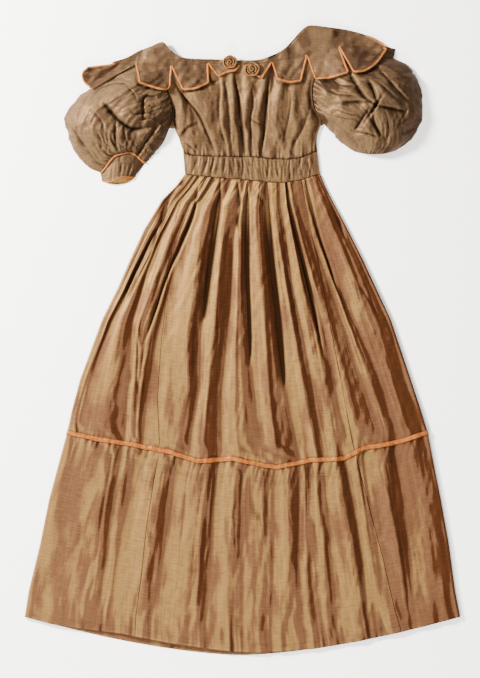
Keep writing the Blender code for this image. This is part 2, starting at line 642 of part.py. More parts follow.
def add_ribbon():
    """The satin ribbon over the seam of the two tiers, and its flat run under the back."""
    shares = panel_shares((FRONT_SEAM_LEFT, FRONT_SEAM_RIGHT), (SIDE_COLUMNS, FRONT_COLUMNS, SIDE_COLUMNS))
    middle = ribbon_level(shares)
    radius = edge_height(middle) / 2
    lift = 2 * GAP + RIBBON_CLOTH
    height = skirt_height(shares, middle) + lift
    rows = []
    for offset in (-RIBBON_WIDTH / 2, 0, RIBBON_WIDTH / 2):
        level = middle + offset / SKIRT_FALL
        x, y = skirt_plan(shares, level, radius)
        left_turn = side_turn(level[[0]], -1, lift, radius[[0]])[0][:2]
        right_turn = side_turn(level[[-1]], 1, lift, radius[[-1]])[0][:2]
        rows.append(np.concatenate([left_turn[::-1], np.stack([x, y, height], axis=-1), right_turn]))
    finish = {"colour": SATIN, "roughness": 0.3}
    add_panel("ribbon_front", np.stack(rows), RIBBON_CLOTH, **finish)
    under_shares = panel_shares((BACK_SEAM_LEFT, BACK_SEAM_RIGHT), (UNDER_COLUMNS,) * 3)
    level = np.full_like(under_shares, BACK_RIBBON_LEVEL)
    x, y = skirt_plan(under_shares, level, edge_height(level) / 2)
    for line in (x, y):
        line[0] += RIBBON_END_SHARE * (line[1] - line[0])
        line[-1] += RIBBON_END_SHARE * (line[-2] - line[-1])
    upper = np.stack([x, y + RIBBON_WIDTH / 2, np.zeros_like(x)], axis=-1)
    lower = np.stack([x, y - RIBBON_WIDTH / 2, np.zeros_like(x)], axis=-1)
    add_panel("ribbon_back", np.stack([upper, lower])[:, ::-1], RIBBON_CLOTH, **finish)


# Bodice and waistband


def bodice_share(down, per_fold=2):
    """Shares across the bodice on and between its fold lines, for each row."""
    at = np.array([np.interp(down, BODICE_SHARE_LEVELS, fold.shares) / 100 for fold in BODICE_FOLDS]).T
    index = np.linspace(0, len(BODICE_FOLDS) - 1, per_fold * (len(BODICE_FOLDS) - 1) + 1)
    return np.array([np.interp(index, np.arange(len(BODICE_FOLDS)), row) for row in at])


def add_bodice_front():
    """The bodice front, gathered into the waistband."""
    down = np.linspace(0, 1, BODICE_ROWS + 1)
    share = bodice_share(down)
    level = np.broadcast_to(down[:, None], share.shape)
    left = ARMHOLE_LEFT + SIDE_LEFT[1:]
    right = ARMHOLE_RIGHT + SIDE_RIGHT[1:]
    plan = patch(left, right, NECKLINE, BAND_TOP, share, level)
    plan[-1, :, 1] += GAP
    height = folded(share, level, BODICE_FOLDS, BODICE_HEIGHT_LEVELS, BODICE_SHARE_LEVELS)
    return sheet("bodice_front", plan, height, CLOTH)


def back_line(side, end):
    """A straight seam line across one half of the back, from the opening to the side."""
    return [(side * GAP / 2, end[1]), end]


def add_bodice_backs():
    """The two halves of the bodice back, apart at the opening, flat and lifted over the back collar."""
    for side, armhole, seam in ((-1, ARMHOLE_LEFT, SIDE_LEFT), (1, ARMHOLE_RIGHT, SIDE_RIGHT)):
        outer = [(x - side * BACK_INSET, y) for x, y in armhole + seam[1:]]
        neck = [(x, y - BACK_NECK_DROP) for x, y in NECKLINE[1:-1] if side * x > BACK_PLACKET_HALF]
        neck = sorted(neck, key=lambda point: side * point[0])
        centre_top = (side * GAP / 2, neck[0][1])
        top_line = [centre_top] + neck + [outer[0]]
        foot_line = back_line(side, outer[-1])
        across, down = grid(5, 6)
        centre = [centre_top, foot_line[0]]
        if side > 0:
            plan = patch(centre, outer, top_line, foot_line, across, down)
        else:
            plan = patch(outer, centre, top_line[::-1], foot_line[::-1], across, down)
        plan[-1, :, 1] += GAP
        lift = COLLAR_LIFT * eased((plan[..., 1] - LIFT_STARTS) / (LIFT_ENDS - LIFT_STARTS))
        name = "bodice_back_left" if side < 0 else "bodice_back_right"
        sheet(name, plan[:, ::-1], lift[:, ::-1], CLOTH)


def add_waistbands():
    """The front waistband with its gathers, and the two flat halves of the back one."""
    ends = (BAND_TOP[0], BAND_FOOT[0]), (BAND_TOP[-1], BAND_FOOT[-1])
    across, down = grid(2 * BAND_RIPPLES, 3)
    plan = patch(*ends, BAND_TOP, BAND_FOOT, across, down)
    rise = np.minimum(1, np.minimum(across, 1 - across) / BAND_END_SHARE)
    ripple = BAND_RIPPLE * np.cos(math.pi * 2 * BAND_RIPPLES * across) * rise
    height = BAND_EDGE_HEIGHT + (BAND_HEIGHT - BAND_EDGE_HEIGHT) * eased(rise) + ripple
    sheet("waistband_front", plan, height, CLOTH)
    for side, end in ((-1, ends[0]), (1, ends[1])):
        outer = [(x - side * BACK_INSET, y) for x, y in end]
        across, down = grid(3, 2)
        top = back_line(side, outer[0])
        foot = back_line(side, outer[1])
        centre = [top[0], foot[0]]
        if side > 0:
            plan = patch(centre, outer, top, foot, across, down)
        else:
            plan = patch(outer, centre, top[::-1], foot[::-1], across, down)
        name = "waistband_back_left" if side < 0 else "waistband_back_right"
        sheet(name, plan[:, ::-1], np.zeros(plan.shape[:2]), CLOTH)


# Sleeves


def sleeve_points(sleeve):
    """Rows of points round a puffed sleeve, from the armhole to the cuff seam."""
    across, down = grid(SLEEVE_TOP_COLUMNS, SLEEVE_ROWS)
    across = eased(across)
    out = -ARMHOLE_ROOM if sleeve.side == "left" else ARMHOLE_ROOM
    armhole = tuple((x + out, y) for x, y in sleeve.armhole)
    outer = armhole[:1] + sleeve.outer
    under = armhole[-1:] + sleeve.under
    if sleeve.side == "left":
        edges = (outer, under, armhole, sleeve.cuff_seam)
    else:
        edges = (under, outer, armhole[::-1], sleeve.cuff_seam)
    plan = patch(*edges, across, down)
    starts, ends = SLEEVE_LIFT_ENDS
    ground = (COLLAR_LIFT + GAP / 2) * (1 - eased((down - starts) / (ends - starts)))
    round_share = np.sin(np.pi * np.clip(across, 0, 1)) ** SLEEVE_ROUND
    tall = np.interp(down, SLEEVE_HEIGHT_LEVELS, sleeve.heights)
    folds = creased(plan[..., 0], plan[..., 1], sleeve.creases) * np.sqrt(round_share)
    lowest = np.minimum(LEAST_PUFF, tall) * round_share
    top = np.dstack([plan, ground + np.maximum(lowest, tall * round_share + folds)])
    across, down = grid(SLEEVE_UNDER_COLUMNS, SLEEVE_ROWS)
    under_plan = patch(*edges, across, down)
    ground = (COLLAR_LIFT + GAP / 2) * (1 - eased((down - starts) / (ends - starts)))
    under = np.dstack([under_plan, ground])[:, ::-1][:, 1:-1]
    return np.concatenate([top, under], axis=1)


def tube_ring(upper, lower, height, top_columns, under_columns):
    """Rows of points round a short flattened tube between two plan lines."""
    across, down = grid(top_columns, 2)
    across = eased(across)
    edges = ((upper[0], lower[0]), (upper[-1], lower[-1]), upper, lower)
    top = np.dstack([patch(*edges, across, down), height * np.sin(np.pi * across) ** SLEEVE_ROUND])
    across, down = grid(under_columns, 2)
    under = np.dstack([patch(*edges, across, down), np.zeros_like(across)])[:, ::-1][:, 1:-1]
    return np.concatenate([top, under], axis=1)


def shrunk(line, ends, shift):
    """A plan line moved in Y and drawn in at both ends."""
    points = smooth(line, np.linspace(ends, 1 - ends, 9))
    points[:, 1] += shift
    return [tuple(point) for point in points]


def add_sleeve(sleeve):
    """A hollow puff, its piping and its cuff. The right cuff is tucked up inside the puff."""
    points = sleeve_points(sleeve)
    add_panel(f"sleeve_{sleeve.side}", points, ring=True)
    columns = (CUFF_TOP_COLUMNS, CUFF_UNDER_COLUMNS)
    if sleeve.side == "left":
        cuff = (shrunk(sleeve.cuff_seam, CUFF_END_SHARE, -PIPING_ROOM), shrunk(sleeve.mouth, 0, 0))
        ring = tube_ring(*cuff, CUFF_HEIGHT, *columns)
    else:
        lines = (sleeve.cuff_seam, sleeve.mouth)
        cuff = [shrunk(line, TUCKED_CUFF_END_SHARE, rise) for line, rise in zip(lines, TUCKED_CUFF_RISES)]
        ring = tube_ring(*cuff, TUCKED_CUFF_HEIGHT, *columns)[::-1]
        ring[..., 2] += CLOTH + GAP
    add_panel(f"cuff_{sleeve.side}", ring, ring=True)
    centre = points[-1].copy()
    middle = centre.mean(axis=0)
    inward = middle - centre
    inward[:, 1] = 0
    inward /= np.linalg.norm(inward, axis=1)[:, None]
    centre = centre + inward * PIPING_RADIUS
    centre[:, 2] = np.maximum(centre[:, 2], PIPING_RADIUS + GAP)
    centre[:, 1] -= PIPING_ROOM / 2
    tube(f"cuff_piping_{sleeve.side}", centre, PIPING_RADIUS, closed=True)


# Collar


def surface(piece):
    """The outer surface of a piece, for finding heights over it."""
    mesh = piece.data
    vertices = [vertex.co.copy() for vertex in mesh.vertices]
    return BVHTree.FromPolygons(vertices, [tuple(face.vertices) for face in mesh.polygons])


def height_over(trees, x, y, reach):
    """Height of the highest cloth within reach of a place."""
    best = 0.0
    rings = math.ceil(reach / PROBE_STEP)
    for ring in range(rings + 1):
        count = max(6 * ring, 1)
        for turn in range(count):
            angle = 2 * math.pi * turn / count
            out = reach * ring / rings
            start = Vector((x + out * math.cos(angle), y + out * math.sin(angle), PROBE_FROM)) * MM
            for tree in trees:
                hit = tree.ray_cast(start, Vector((0, 0, -1)))[0]
                if hit is not None:
                    best = max(best, hit.z / MM)
    return best


def tab_grid(tab):
    """Plan points of a tab, from the neck or shoulder line over its root to its outer edge."""
    share = np.linspace(0, 1, TAB_COLUMNS + 1)
    neck = smooth(tab.neck, share)
    root = smooth(tab.root, share)
    outer = smooth(tab.outer, share)
    band = [neck + (root - neck) * row / BAND_ROWS for row in range(BAND_ROWS)]
    flap = [root + (outer - root) * row / TAB_ROWS for row in range(TAB_ROWS + 1)]
    return np.stack(band + flap)


def add_collar(side, trees):
    """One front half of the collar: its tabs hang together down to their roots."""
    vertices = []
    index = {}
    faces = []
    for tab in COLLARS[side]:
        plan = tab_grid(tab)
        rows, columns = plan.shape[:2]
        names = np.zeros((rows, columns), int)
        for row in range(rows):
            free = COLLAR_EDGE_HEIGHT + (TAB_TIP_HEIGHT - COLLAR_EDGE_HEIGHT) * row / (rows - 1)
            for column in range(columns):
                key = tuple(np.round(plan[row, column], 3))
                if key not in index:
                    x, y = plan[row, column]
                    over = max(height_over(trees, x, y, COLLAR_REACH), free)
                    index[key] = len(vertices)
                    vertices.append((x, y, over + COLLAR_LIFT_OFF + COLLAR_CLOTH))
                names[row, column] = index[key]
        for row in range(rows - 1):
            for column in range(columns - 1):
                beside = column + 1
                quad = (names[row, column], names[row + 1, column], names[row + 1, beside], names[row, beside])
                faces.append(tuple(int(corner) for corner in (quad if side == "right" else quad[::-1])))
    return cloth(f"collar_front_{side}", vertices, faces, COLLAR_CLOTH)


def add_bindings(side, collar_tree):
    """A flat satin binding along the free edges of each tab."""
    for tab in COLLARS[side]:
        plan = tab_grid(tab)
        flap = plan[BAND_ROWS:]
        edge = np.concatenate([flap[:, 0], flap[-1, 1:-1], flap[::-1, -1]])
        middle = flap.mean(axis=(0, 1))
        inner = []
        for place, point in enumerate(edge):
            before = edge[max(place - 1, 0)]
            after = edge[min(place + 1, len(edge) - 1)]
            along = (after - before) / np.linalg.norm(after - before)
            inward = np.array([-along[1], along[0]])
            if inward @ (middle - point) < 0:
                inward = -inward
            inner.append(point + inward * BINDING_WIDTH)
        edge = edge + (middle - edge) * BINDING_EDGE_SHARE
        strip = np.stack([edge, np.array(inner)])[:, 1:-1]
        under = [height_over([collar_tree], *point, BINDING_REACH) for point in strip.reshape(-1, 2)]
        heights = np.array(under).reshape(strip.shape[:2])
        strip = np.dstack([strip, heights + BINDING_LIFT_OFF + RIBBON_CLOTH])
        if side == "right":
            strip = strip[::-1]
        add_panel(f"binding_{side}_{tab.name}", strip, RIBBON_CLOTH, colour=SATIN, roughness=0.3)


def add_back_collar(collar):
    """One back half of the collar, flat on the ground, with a dagged edge."""
    columns = 4 * BACK_DAGS
    across, down = grid(columns, 3)
    centre = (collar.neck[0], collar.outer[0])
    plan = patch(centre, collar.fold, collar.neck, collar.outer, across, down)
    notch = np.where(np.arange(columns + 1) % 4 == 0, BACK_DAG_DEPTH, 0)
    notch[[0, -1]] = 0
    inward = plan[0] - plan[-1]
    inward /= np.linalg.norm(inward, axis=1)[:, None]
    plan[-1] += inward * notch[:, None]
    points = np.dstack([plan, np.zeros_like(across)])
    if collar.side == "right":
        points = points[:, ::-1]
    add_panel(f"collar_back_{collar.side}", points, COLLAR_CLOTH)


def add_rosette(rosette, trees):
    """A rosette: a roll of silk coiled flat from its middle out."""
    x, y = rosette.centre
    base = height_over(trees, x, y, rosette.radius) + ROLL_RADIUS + ROSETTE_LIFT_OFF
    outer = rosette.radius - ROLL_RADIUS
    turns = outer / ROLL_PITCH - ROLL_START
    steps = int(turns * ROLL_STEPS)
    points = []
    for step in range(steps + 1):
        angle = 2 * math.pi * step / ROLL_STEPS
        radius = ROLL_PITCH * (ROLL_START + step / ROLL_STEPS)
        points.append((x + radius * math.cos(angle), y + radius * math.sin(angle), base))
    tube(f"rosette_{rosette.side}", points, ROLL_RADIUS, colour=SILK_DARK, roughness=0.4)


def main():
    """Clears the scene and makes every piece."""
    for old in list(bpy.data.objects):
        bpy.data.objects.remove(old, do_unlink=True)
    collection = bpy.data.collections.new(COLLECTION_NAME)
    bpy.context.scene.collection.children.link(collection)
    for tier in ("skirt", "flounce"):
        add_tier(tier)
    add_ribbon()
    bodice = add_bodice_front()
    add_bodice_backs()
    add_waistbands()
    for sleeve in (SLEEVE_LEFT, SLEEVE_RIGHT):
        add_sleeve(sleeve)
    for collar in BACK_COLLARS:
        add_back_collar(collar)
    worn = [surface(bodice)] + [surface(bpy.data.objects[f"sleeve_{side}"]) for side in COLLARS]
    collars = []
    for side in COLLARS:
        tree = surface(add_collar(side, worn))
        add_bindings(side, tree)
        collars.append(tree)
    for side in COLLARS:
        for tab in COLLARS[side]:
            collars.append(surface(bpy.data.objects[f"binding_{side}_{tab.name}"]))
    for rosette in ROSETTES:
        add_rosette(rosette, worn + collars)


main()
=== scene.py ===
"""Dresses the frame of a silk taffeta dress that lies flat on its back.

It adds the cloth, trim, stitches, light and camera. Sizes and tables are in millimetres unless a name says
otherwise, with +Y towards the neck and the ground at z = 0. A level goes from 0 at the waist to 1 at the
hem, and a share from 0 at the left edge to 1 at the right.
"""

import logging
import math
from collections.abc import Sequence
from dataclasses import dataclass, field
from enum import Enum
from typing import NamedTuple

import bpy
import numpy as np
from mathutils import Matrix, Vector
from mathutils.bvhtree import BVHTree


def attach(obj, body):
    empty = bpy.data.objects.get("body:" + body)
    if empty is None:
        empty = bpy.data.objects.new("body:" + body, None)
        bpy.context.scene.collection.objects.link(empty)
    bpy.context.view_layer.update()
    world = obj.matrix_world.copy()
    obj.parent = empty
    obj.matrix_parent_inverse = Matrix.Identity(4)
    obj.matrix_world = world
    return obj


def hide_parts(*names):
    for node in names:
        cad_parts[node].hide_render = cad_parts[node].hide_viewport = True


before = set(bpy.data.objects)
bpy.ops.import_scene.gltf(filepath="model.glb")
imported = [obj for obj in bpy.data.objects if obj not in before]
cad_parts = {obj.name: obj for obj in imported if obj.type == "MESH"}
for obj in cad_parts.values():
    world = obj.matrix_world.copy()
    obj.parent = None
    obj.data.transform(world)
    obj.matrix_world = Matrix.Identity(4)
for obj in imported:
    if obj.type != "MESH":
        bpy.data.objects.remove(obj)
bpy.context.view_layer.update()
log = logging.getLogger("dress")

MM = 0.001
GAP = 0.4
SEAM_GAP = 0.9
SWEEP_SIDES = 10
Array = np.ndarray
Point = tuple[float, float]
Colour = tuple[float, float, float]


class SkirtEdge(NamedTuple):
    """The skirt's left and right edge at a height on the plan."""

    y: float
    left: float
    right: float


@dataclass(frozen=True)
class FoldTable:
    """The folds of a panel from left to right: its edges, and crests and valleys by turns between them.

    Each fold has its heights at the height levels, and its shares of the width, in percent, at the share
    levels.
    """

    height_levels: tuple[float, ...]
    share_levels: tuple[float, ...]
    folds: tuple[tuple[tuple[float, ...], tuple[float, ...]], ...]

    def spans(self, across: Array, down: Array) -> list[Array]:
        """How far each place lies on the way from each fold line to the next."""
        at = [np.interp(down, self.share_levels, shares) / 100 for _, shares in self.folds]
        return [(across - here) / (beyond - here) for here, beyond in zip(at, at[1:])]

    def height(self, across: Array, down: Array) -> Array:
        """The height at shares across and down."""
        tall = [np.interp(down, self.height_levels, heights) for heights, _ in self.folds]
        height = tall[0]
        for span, low, high in zip(self.spans(across, down), tall, tall[1:]):
            height = height + (high - low) * crisp(span)
        return height

    def place(self, across: Array, down: Array) -> Array:
        """How many folds lie to the left, with its fraction, so that noise in it follows the folds."""
        return sum(np.clip(span, 0, 1) for span in self.spans(across, down))


class Crease(NamedTuple):
    """A sharp crease along a route, with a lip standing proud on the left of its way."""

    depth: float
    width: float
    lip: float
    route: tuple[Point, ...]


def creases(*rows: tuple[float, float, float, tuple[Point, ...]]) -> tuple[Crease, ...]:
    """Creases from rows of depth, width, lip and route."""
    return tuple(Crease(*row) for row in rows)


class Side(Enum):
    """The two sides of the dress, as seen from above."""

    LEFT = "left"
    RIGHT = "right"

    @property
    def sign(self) -> int:
        """The way outwards along X."""
        return -1 if self is Side.LEFT else 1


class Tier(Enum):
    """The two tiers of the skirt."""

    UPPER = "skirt"
    LOWER = "flounce"


# Skirt
SKIRT_TOP = 315.0
SKIRT_FALL = 868.0
SKIRT_EDGES = (
    SkirtEdge(334, -114, 155), SkirtEdge(309, -133, 165), SkirtEdge(281, -161, 179),
    SkirtEdge(221, -197, 211), SkirtEdge(161, -225, 241), SkirtEdge(101, -251, 269),
    SkirtEdge(41, -281, 297), SkirtEdge(-19, -303, 317), SkirtEdge(-79, -325, 337),
    SkirtEdge(-139, -341, 357), SkirtEdge(-185, -351, 371), SkirtEdge(-259, -371, 385),
    SkirtEdge(-319, -387, 397), SkirtEdge(-409, -405, 413), SkirtEdge(-499, -427, 425),
    SkirtEdge(-556, -436, 436),
)

# How far the middle of the skirt hangs below its sides at a level, then levels at shares of the width
DIPS = ((0.0, 10), (0.57, 64), (1.0, 76))
RIBBON_LINE = (
    (0.00, 0.575), (0.17, 0.560), (0.28, 0.560), (0.36, 0.572), (0.46, 0.562), (0.58, 0.582),
    (0.68, 0.573), (0.77, 0.582), (0.83, 0.568), (0.92, 0.575), (1.00, 0.575),
)
BACK_RIBBON_LEVEL = 0.572
HEM_RISES = ((0.06, 0), (0.22, 0.015), (0.4, 0.011), (0.66, 0), (1, 0))
SEAM_LEVELS = (0.0, 0.1, 0.3, 0.55, 0.8, 1.0)
FRONT_SEAM_LEFT = (0.08, 0.13, 0.20, 0.25, 0.247, 0.25)
FRONT_SEAM_RIGHT = (0.86, 0.83, 0.80, 0.80, 0.84, 0.87)
BACK_SEAM_LEFT = (0.33, 0.33, 0.335, 0.34, 0.34, 0.34)
BACK_SEAM_RIGHT = (0.66, 0.65, 0.62, 0.59, 0.57, 0.57)
UPPER_FOLDS = FoldTable(
    (0.0, 0.22, 0.57),
    (0.0, 0.1, 0.2, 0.3, 0.42, 0.57),
    (
        ((5, 8, 8), (0, 0, 0, 0, 0, 0)),
        ((7, 10, 9), (3.5, 3.2, 1.8, 1.3, 1.2, 1.2)),
        ((3.6, 4.5, 8), (7, 6.5, 3.5, 2.5, 2.3, 2.3)),
        ((6.5, 10, 11), (8, 7.5, 5.5, 6, 8, 9)),
        ((4, 4, 4.5), (9, 8.5, 8, 9.5, 13.5, 15.5)),
        ((8, 13, 7), (13.3, 13.2, 12.5, 12.2, 15.2, 16.7)),
        ((6, 9, 6.5), (17, 16.4, 15.4, 14.6, 16.2, 17.6)),
        ((8, 10, 7), (18.7, 17.6, 16.4, 15.9, 17.2, 18.8)),
        ((3.6, 3.6, 4.5), (20.3, 19.3, 18.2, 18.8, 19.8, 20.5)),
        ((8, 15, 11), (27, 27.5, 28, 28.8, 31.5, 29.5)),
        ((3.6, 3.6, 5), (34, 33.8, 33.6, 33.8, 35.5, 33.5)),
        ((8, 15, 10), (38.5, 38.3, 38, 38.3, 38.2, 37.5)),
        ((3.6, 3.6, 4), (44, 44, 43.8, 43.3, 42.5, 43)),
        ((7, 12, 10), (46.3, 46.3, 46.2, 46.5, 47, 47.5)),
        ((3.6, 4, 5), (50.3, 50.3, 50.4, 51.3, 52.8, 54.8)),
        ((8, 14, 10), (56, 56, 56, 56.5, 57.3, 58.5)),
        ((3.6, 3.6, 3.6), (61, 61.3, 61.8, 62.3, 63.2, 64.5)),
        ((8, 13, 9), (66.5, 66.7, 66.4, 66.8, 67.8, 69)),
        ((4, 5, 5), (70, 70, 69, 69.8, 71, 72)),
        ((7, 11, 9), (73.2, 73.2, 73, 73.4, 74, 75)),
        ((3.6, 3.6, 6), (75, 75.4, 76, 77.3, 78, 79)),
        ((7, 10, 8), (77, 77.3, 77.8, 79, 80, 81)),
        ((3.6, 3.8, 6), (86, 82.7, 83.5, 84.6, 86.5, 88)),
        ((6, 8, 8), (88, 85.5, 85.8, 86.4, 88.5, 90)),
        ((4.5, 5.5, 5.5), (90, 88, 87.6, 88.5, 91.5, 92.5)),
        ((7, 12, 9), (95, 94.5, 94.3, 94.5, 95, 95.5)),
        ((5, 8, 8), (100, 100, 100, 100, 100, 100)),
    ),
)
LOWER_FOLDS = FoldTable(
    (0.57, 0.8, 1.0),
    (0.57, 0.68, 0.8, 0.9, 1.0),
    (
        ((8, 8, 8), (0, 0, 0, 0, 0)),
        ((11, 10, 8), (12, 12.3, 12.6, 12.8, 12.6)),
        ((4, 4.5, 6), (15.2, 15.3, 16, 16.3, 16)),
        ((6, 6, 6.5), (16.7, 16.9, 17.2, 17.5, 17.4)),
        ((4.5, 5, 6), (18.8, 18.8, 19, 19, 19)),
        ((11, 10, 8), (26.6, 26.2, 25.8, 25.8, 26)),
        ((4.5, 5, 7), (30.3, 30, 29.5, 29.5, 29.6)),
        ((12, 11, 8), (39, 38.6, 38.3, 38.4, 39)),
        ((3.8, 4, 7), (41.9, 41.7, 41.6, 41.2, 41.4)),
        ((10, 9, 8), (46.4, 46.4, 46.5, 46.7, 47)),
        ((6, 6, 7), (49.4, 49.4, 49.5, 49.8, 50)),
        ((8, 8, 7.5), (54.6, 54.5, 54.3, 54.2, 54.4)),
        ((4, 5, 6.5), (57.8, 57.6, 57.3, 57.2, 57.3)),
        ((9, 9, 8), (61.2, 61, 60.9, 61.2, 61.8)),
        ((3.6, 3.8, 5), (64.7, 64.2, 63.6, 64.2, 65)),
        ((7, 7.5, 7), (66, 65.7, 65.3, 65.8, 66.6)),
        ((5, 5.5, 6.5), (67.6, 67.4, 67.3, 67.6, 68.2)),
        ((8, 8, 7.5), (69.3, 69.3, 69.8, 70.1, 70.4)),
        ((5, 5, 6.5), (71.3, 71.4, 71.7, 72.2, 72.6)),
        ((11, 11, 8.5), (74.8, 76, 77, 78, 78.6)),
        ((3.8, 3.8, 5.5), (77, 78.3, 79.3, 79.8, 80.2)),
        ((7, 7, 7), (79.6, 80.4, 81, 81.6, 82)),
        ((5, 5, 6.5), (82.4, 82.8, 83.2, 83.4, 83.6)),
        ((11, 10, 8), (88, 88, 88, 88.4, 88.6)),
        ((3.8, 4, 6), (90.8, 91, 91, 91.2, 91.3)),
        ((10, 9, 8), (97, 97, 97, 97, 97)),
        ((8, 8, 8), (100, 100, 100, 100, 100)),
    ),
)
FOLDS_MEET = (0.53, 0.60)

# Sharp creases that are laid over the skirt's folds, with painted shade along them
SKIRT_CREASES = creases(
    (8, 4.2, 1.0, ((-113, 318), (-139, 301), (-165, 229))),
    (4, 2.5, 1.0, ((-163, 233), (-181.4, 205), (-213, 141), (-239.6, 83))),
    (3, 2.5, 0.8, ((-169, 225), (-181, 181), (-205, 131), (-229, 85))),
    (
        5.5, 2.4, 1.2,
        ((-87, 325), (-93, 281), (-101.8, 241), (-129, 177), (-151, 127), (-181.4, 35), (-199, -11)),
    ),
    (1.4, 2.4, 0.6, ((-218.0, 37), (-209, -19), (-211, -79), (-203, -123))),
    (8, 3.0, 1.2, ((-43, 330), (-47, 265), (-63.4, 141), (-71, 81), (-77, 37))),
    (4, 2.0, 0.8, ((-11, 328), (-5, 271), (-9, 237), (-7, 201))),
    (7, 2.4, 1.0, ((10.0, 326), (11.6, 221), (12.2, 121), (17, 1), (15, -51))),
    (9, 3.4, 1.5, ((49, 328), (53, 251), (61, 157), (73, 51), (85, -99))),
    (3, 1.8, 0.6, ((23, 299), (37, 285), (49, 269))),
    (7, 2.6, 1.0, ((87, 330), (95, 271), (109, 211), (135, 101), (163, -35))),
    (7, 2.6, 1.0, ((124.2, 332), (133, 287), (151, 217), (171, 157), (193, 87))),
    (7, 3.4, 1.0, ((147, 334), (171, 309), (183, 271), (205, 205))),
)

# Bodice and waistband
ARMHOLE_LEFT = ((-189, 571), (-179, 549), (-163, 523), (-147, 493), (-139, 465), (-139, 439))
ARMHOLE_RIGHT = ((179, 613), (169, 581), (153, 549), (141, 515), (139, 491), (143, 465), (157, 439))
SIDE_LEFT = ((-139, 439), (-135, 421), (-127, 404), (-123, 391), (-119, 380))
SIDE_RIGHT = ((157, 439), (151, 415), (148, 397), (149, 380))
NECKLINE = (
    (-189, 571), (-161, 590), (-145, 581), (-125, 567), (-95, 563), (-55, 562), (-5, 560),
    (31, 561), (59, 570), (83, 583), (101, 601), (117, 619), (131, 625), (179, 613),
)
BAND_TOP = (
    (-119, 380), (-105, 371), (-41, 368), (21, 367), (57, 363.4), (99, 363.4), (125, 369), (149, 380),
)
BAND_FOOT = ((-115, 332), (-45, 325), (9, 321), (87, 316), (155, 332))
BACK_NECK_DROP = 10.0
BACK_INSET = 1.0
BACK_PLACKET_HALF = 6.0
BODICE_FOLDS = FoldTable(
    (0.0, 0.35, 0.62, 0.78, 1.0),
    (0.0, 0.35, 0.7, 1.0),
    (
        ((11, 13, 9, 4.9, 3.2), (0, 0, 0, 0)),
        ((11, 13, 12, 8, 6.5), (2.5, 4.5, 9, 12)),
        ((9, 9, 7.5, 6, 4.6), (5, 9, 18.6, 25.4)),
        ((10, 13, 12.5, 10, 6.5), (20, 22, 25, 29.5)),
        ((8, 8.5, 8, 7, 4.6), (38.6, 35.7, 31.5, 33)),
        ((9, 11, 10.5, 9, 6.3), (40, 38, 35, 35.3)),
        ((8, 8, 7.5, 6.5, 4.5), (41.5, 40.5, 38.5, 37.5)),
        ((9, 12, 11.5, 9.5, 6.5), (44.3, 44.5, 42.5, 42.3)),
        ((6.5, 5.5, 5.5, 5, 4.4), (47, 48.6, 46.3, 47)),
        ((9, 12, 11.5, 9.5, 6.5), (51.5, 53.5, 49.5, 49.3)),
        ((8, 8, 7.5, 6.5, 4.6), (56.5, 58.4, 52.7, 51.5)),
        ((9, 12.5, 12, 9.5, 6.5), (62, 63.5, 57.5, 55.2)),
        ((6.5, 5.5, 5.5, 5, 4.4), (67.4, 68.9, 62.8, 58.6)),
        ((9, 13, 12, 10, 6.5), (72.5, 77, 70.5, 66.5)),
        ((8.5, 10.5, 9, 7.5, 4.8), (77.7, 85.3, 78, 74.6)),
        ((9.5, 13, 11.5, 9, 6.4), (86, 90, 83.5, 78)),
        ((10, 11, 8.5, 6.5, 4.6), (94, 95, 89.2, 81.1)),
        ((11, 13, 10, 7.5, 6), (97.5, 97.8, 95, 90)),
        ((11, 13, 9, 4.9, 3.2), (100, 100, 100, 100)),
    ),
)
BAND_HEIGHT = 5.6
BAND_EDGE_HEIGHT = 3.1
BAND_END_SHARE = 1 / 12
COLLAR_LIFT = 1.4
LIFT_STARTS = 385.0
LIFT_ENDS = 418.0
BODICE_CREASES = creases(
    (3.4, 1.8, 0.9, ((-135, 515.6), (-115.4, 486), (-89.6, 454.2), (-75.8, 425), (-62, 393), (-51, 367))),
    (2.1, 1.4, 0.5, ((-47, 523.6), (-44, 501.8), (-47, 455), (-42.2, 419), (-34.2, 393), (-30.2, 367))),
    (2.1, 1.4, 0.5, ((-36.2, 525.6), (-28.2, 470.2), (-23.4, 403), (-18.4, 371))),
    (4.2, 1.7, 0.9, ((-16.4, 535.4), (-7.4, 486), (-1.6, 438.4), (3.4, 387), (7.4, 371))),
    (2.5, 1.4, 0.6, ((19, 505.8), (22.2, 470.2), (17, 442.4), (19, 383))),
    (4.2, 1.7, 0.9, ((55, 527.6), (50, 491.8), (47, 442.4), (43, 407), (38, 369))),
    (1.7, 3, 0.4, ((97, 501), (95, 461), (81, 391))),
    (1.7, 3, 0.4, ((138, 501.8), (136, 470.2), (120.2, 423), (102.4, 391), (98.4, 365))),
    (2.1, 1.8, 0.7, ((-125.2, 405), (-109.4, 425), (-87.6, 435))),
    (1.7, 1.7, 0.5, ((-115.4, 397), (-89.6, 375))),
    (2.1, 1.4, 0.5, ((15, 442), (32, 434), (45, 431))),
    # The rows from here to the end are mostly painted shadow: shallow troughs whose crease value paints
    # shade under the collar tabs' lower edges, in a slit between two tabs and along the armhole seams.
    (2.5, 3, 0.1, ((-64, 513), (-91, 499), (-121, 497))),
    (2.5, 3, 0.1, ((68, 519), (95, 511), (119, 515))),
    (4.2, 2.2, 0.2, ((139, 523), (137, 491), (141, 465), (156, 437), (150, 414))),
    (3.4, 2.2, 0.2, ((-146, 487), (-136, 463), (-136, 440), (-128, 417))),
    (2.5, 2.2, 0.2, ((-71, 536), (-60, 518), (-46, 522))),
)
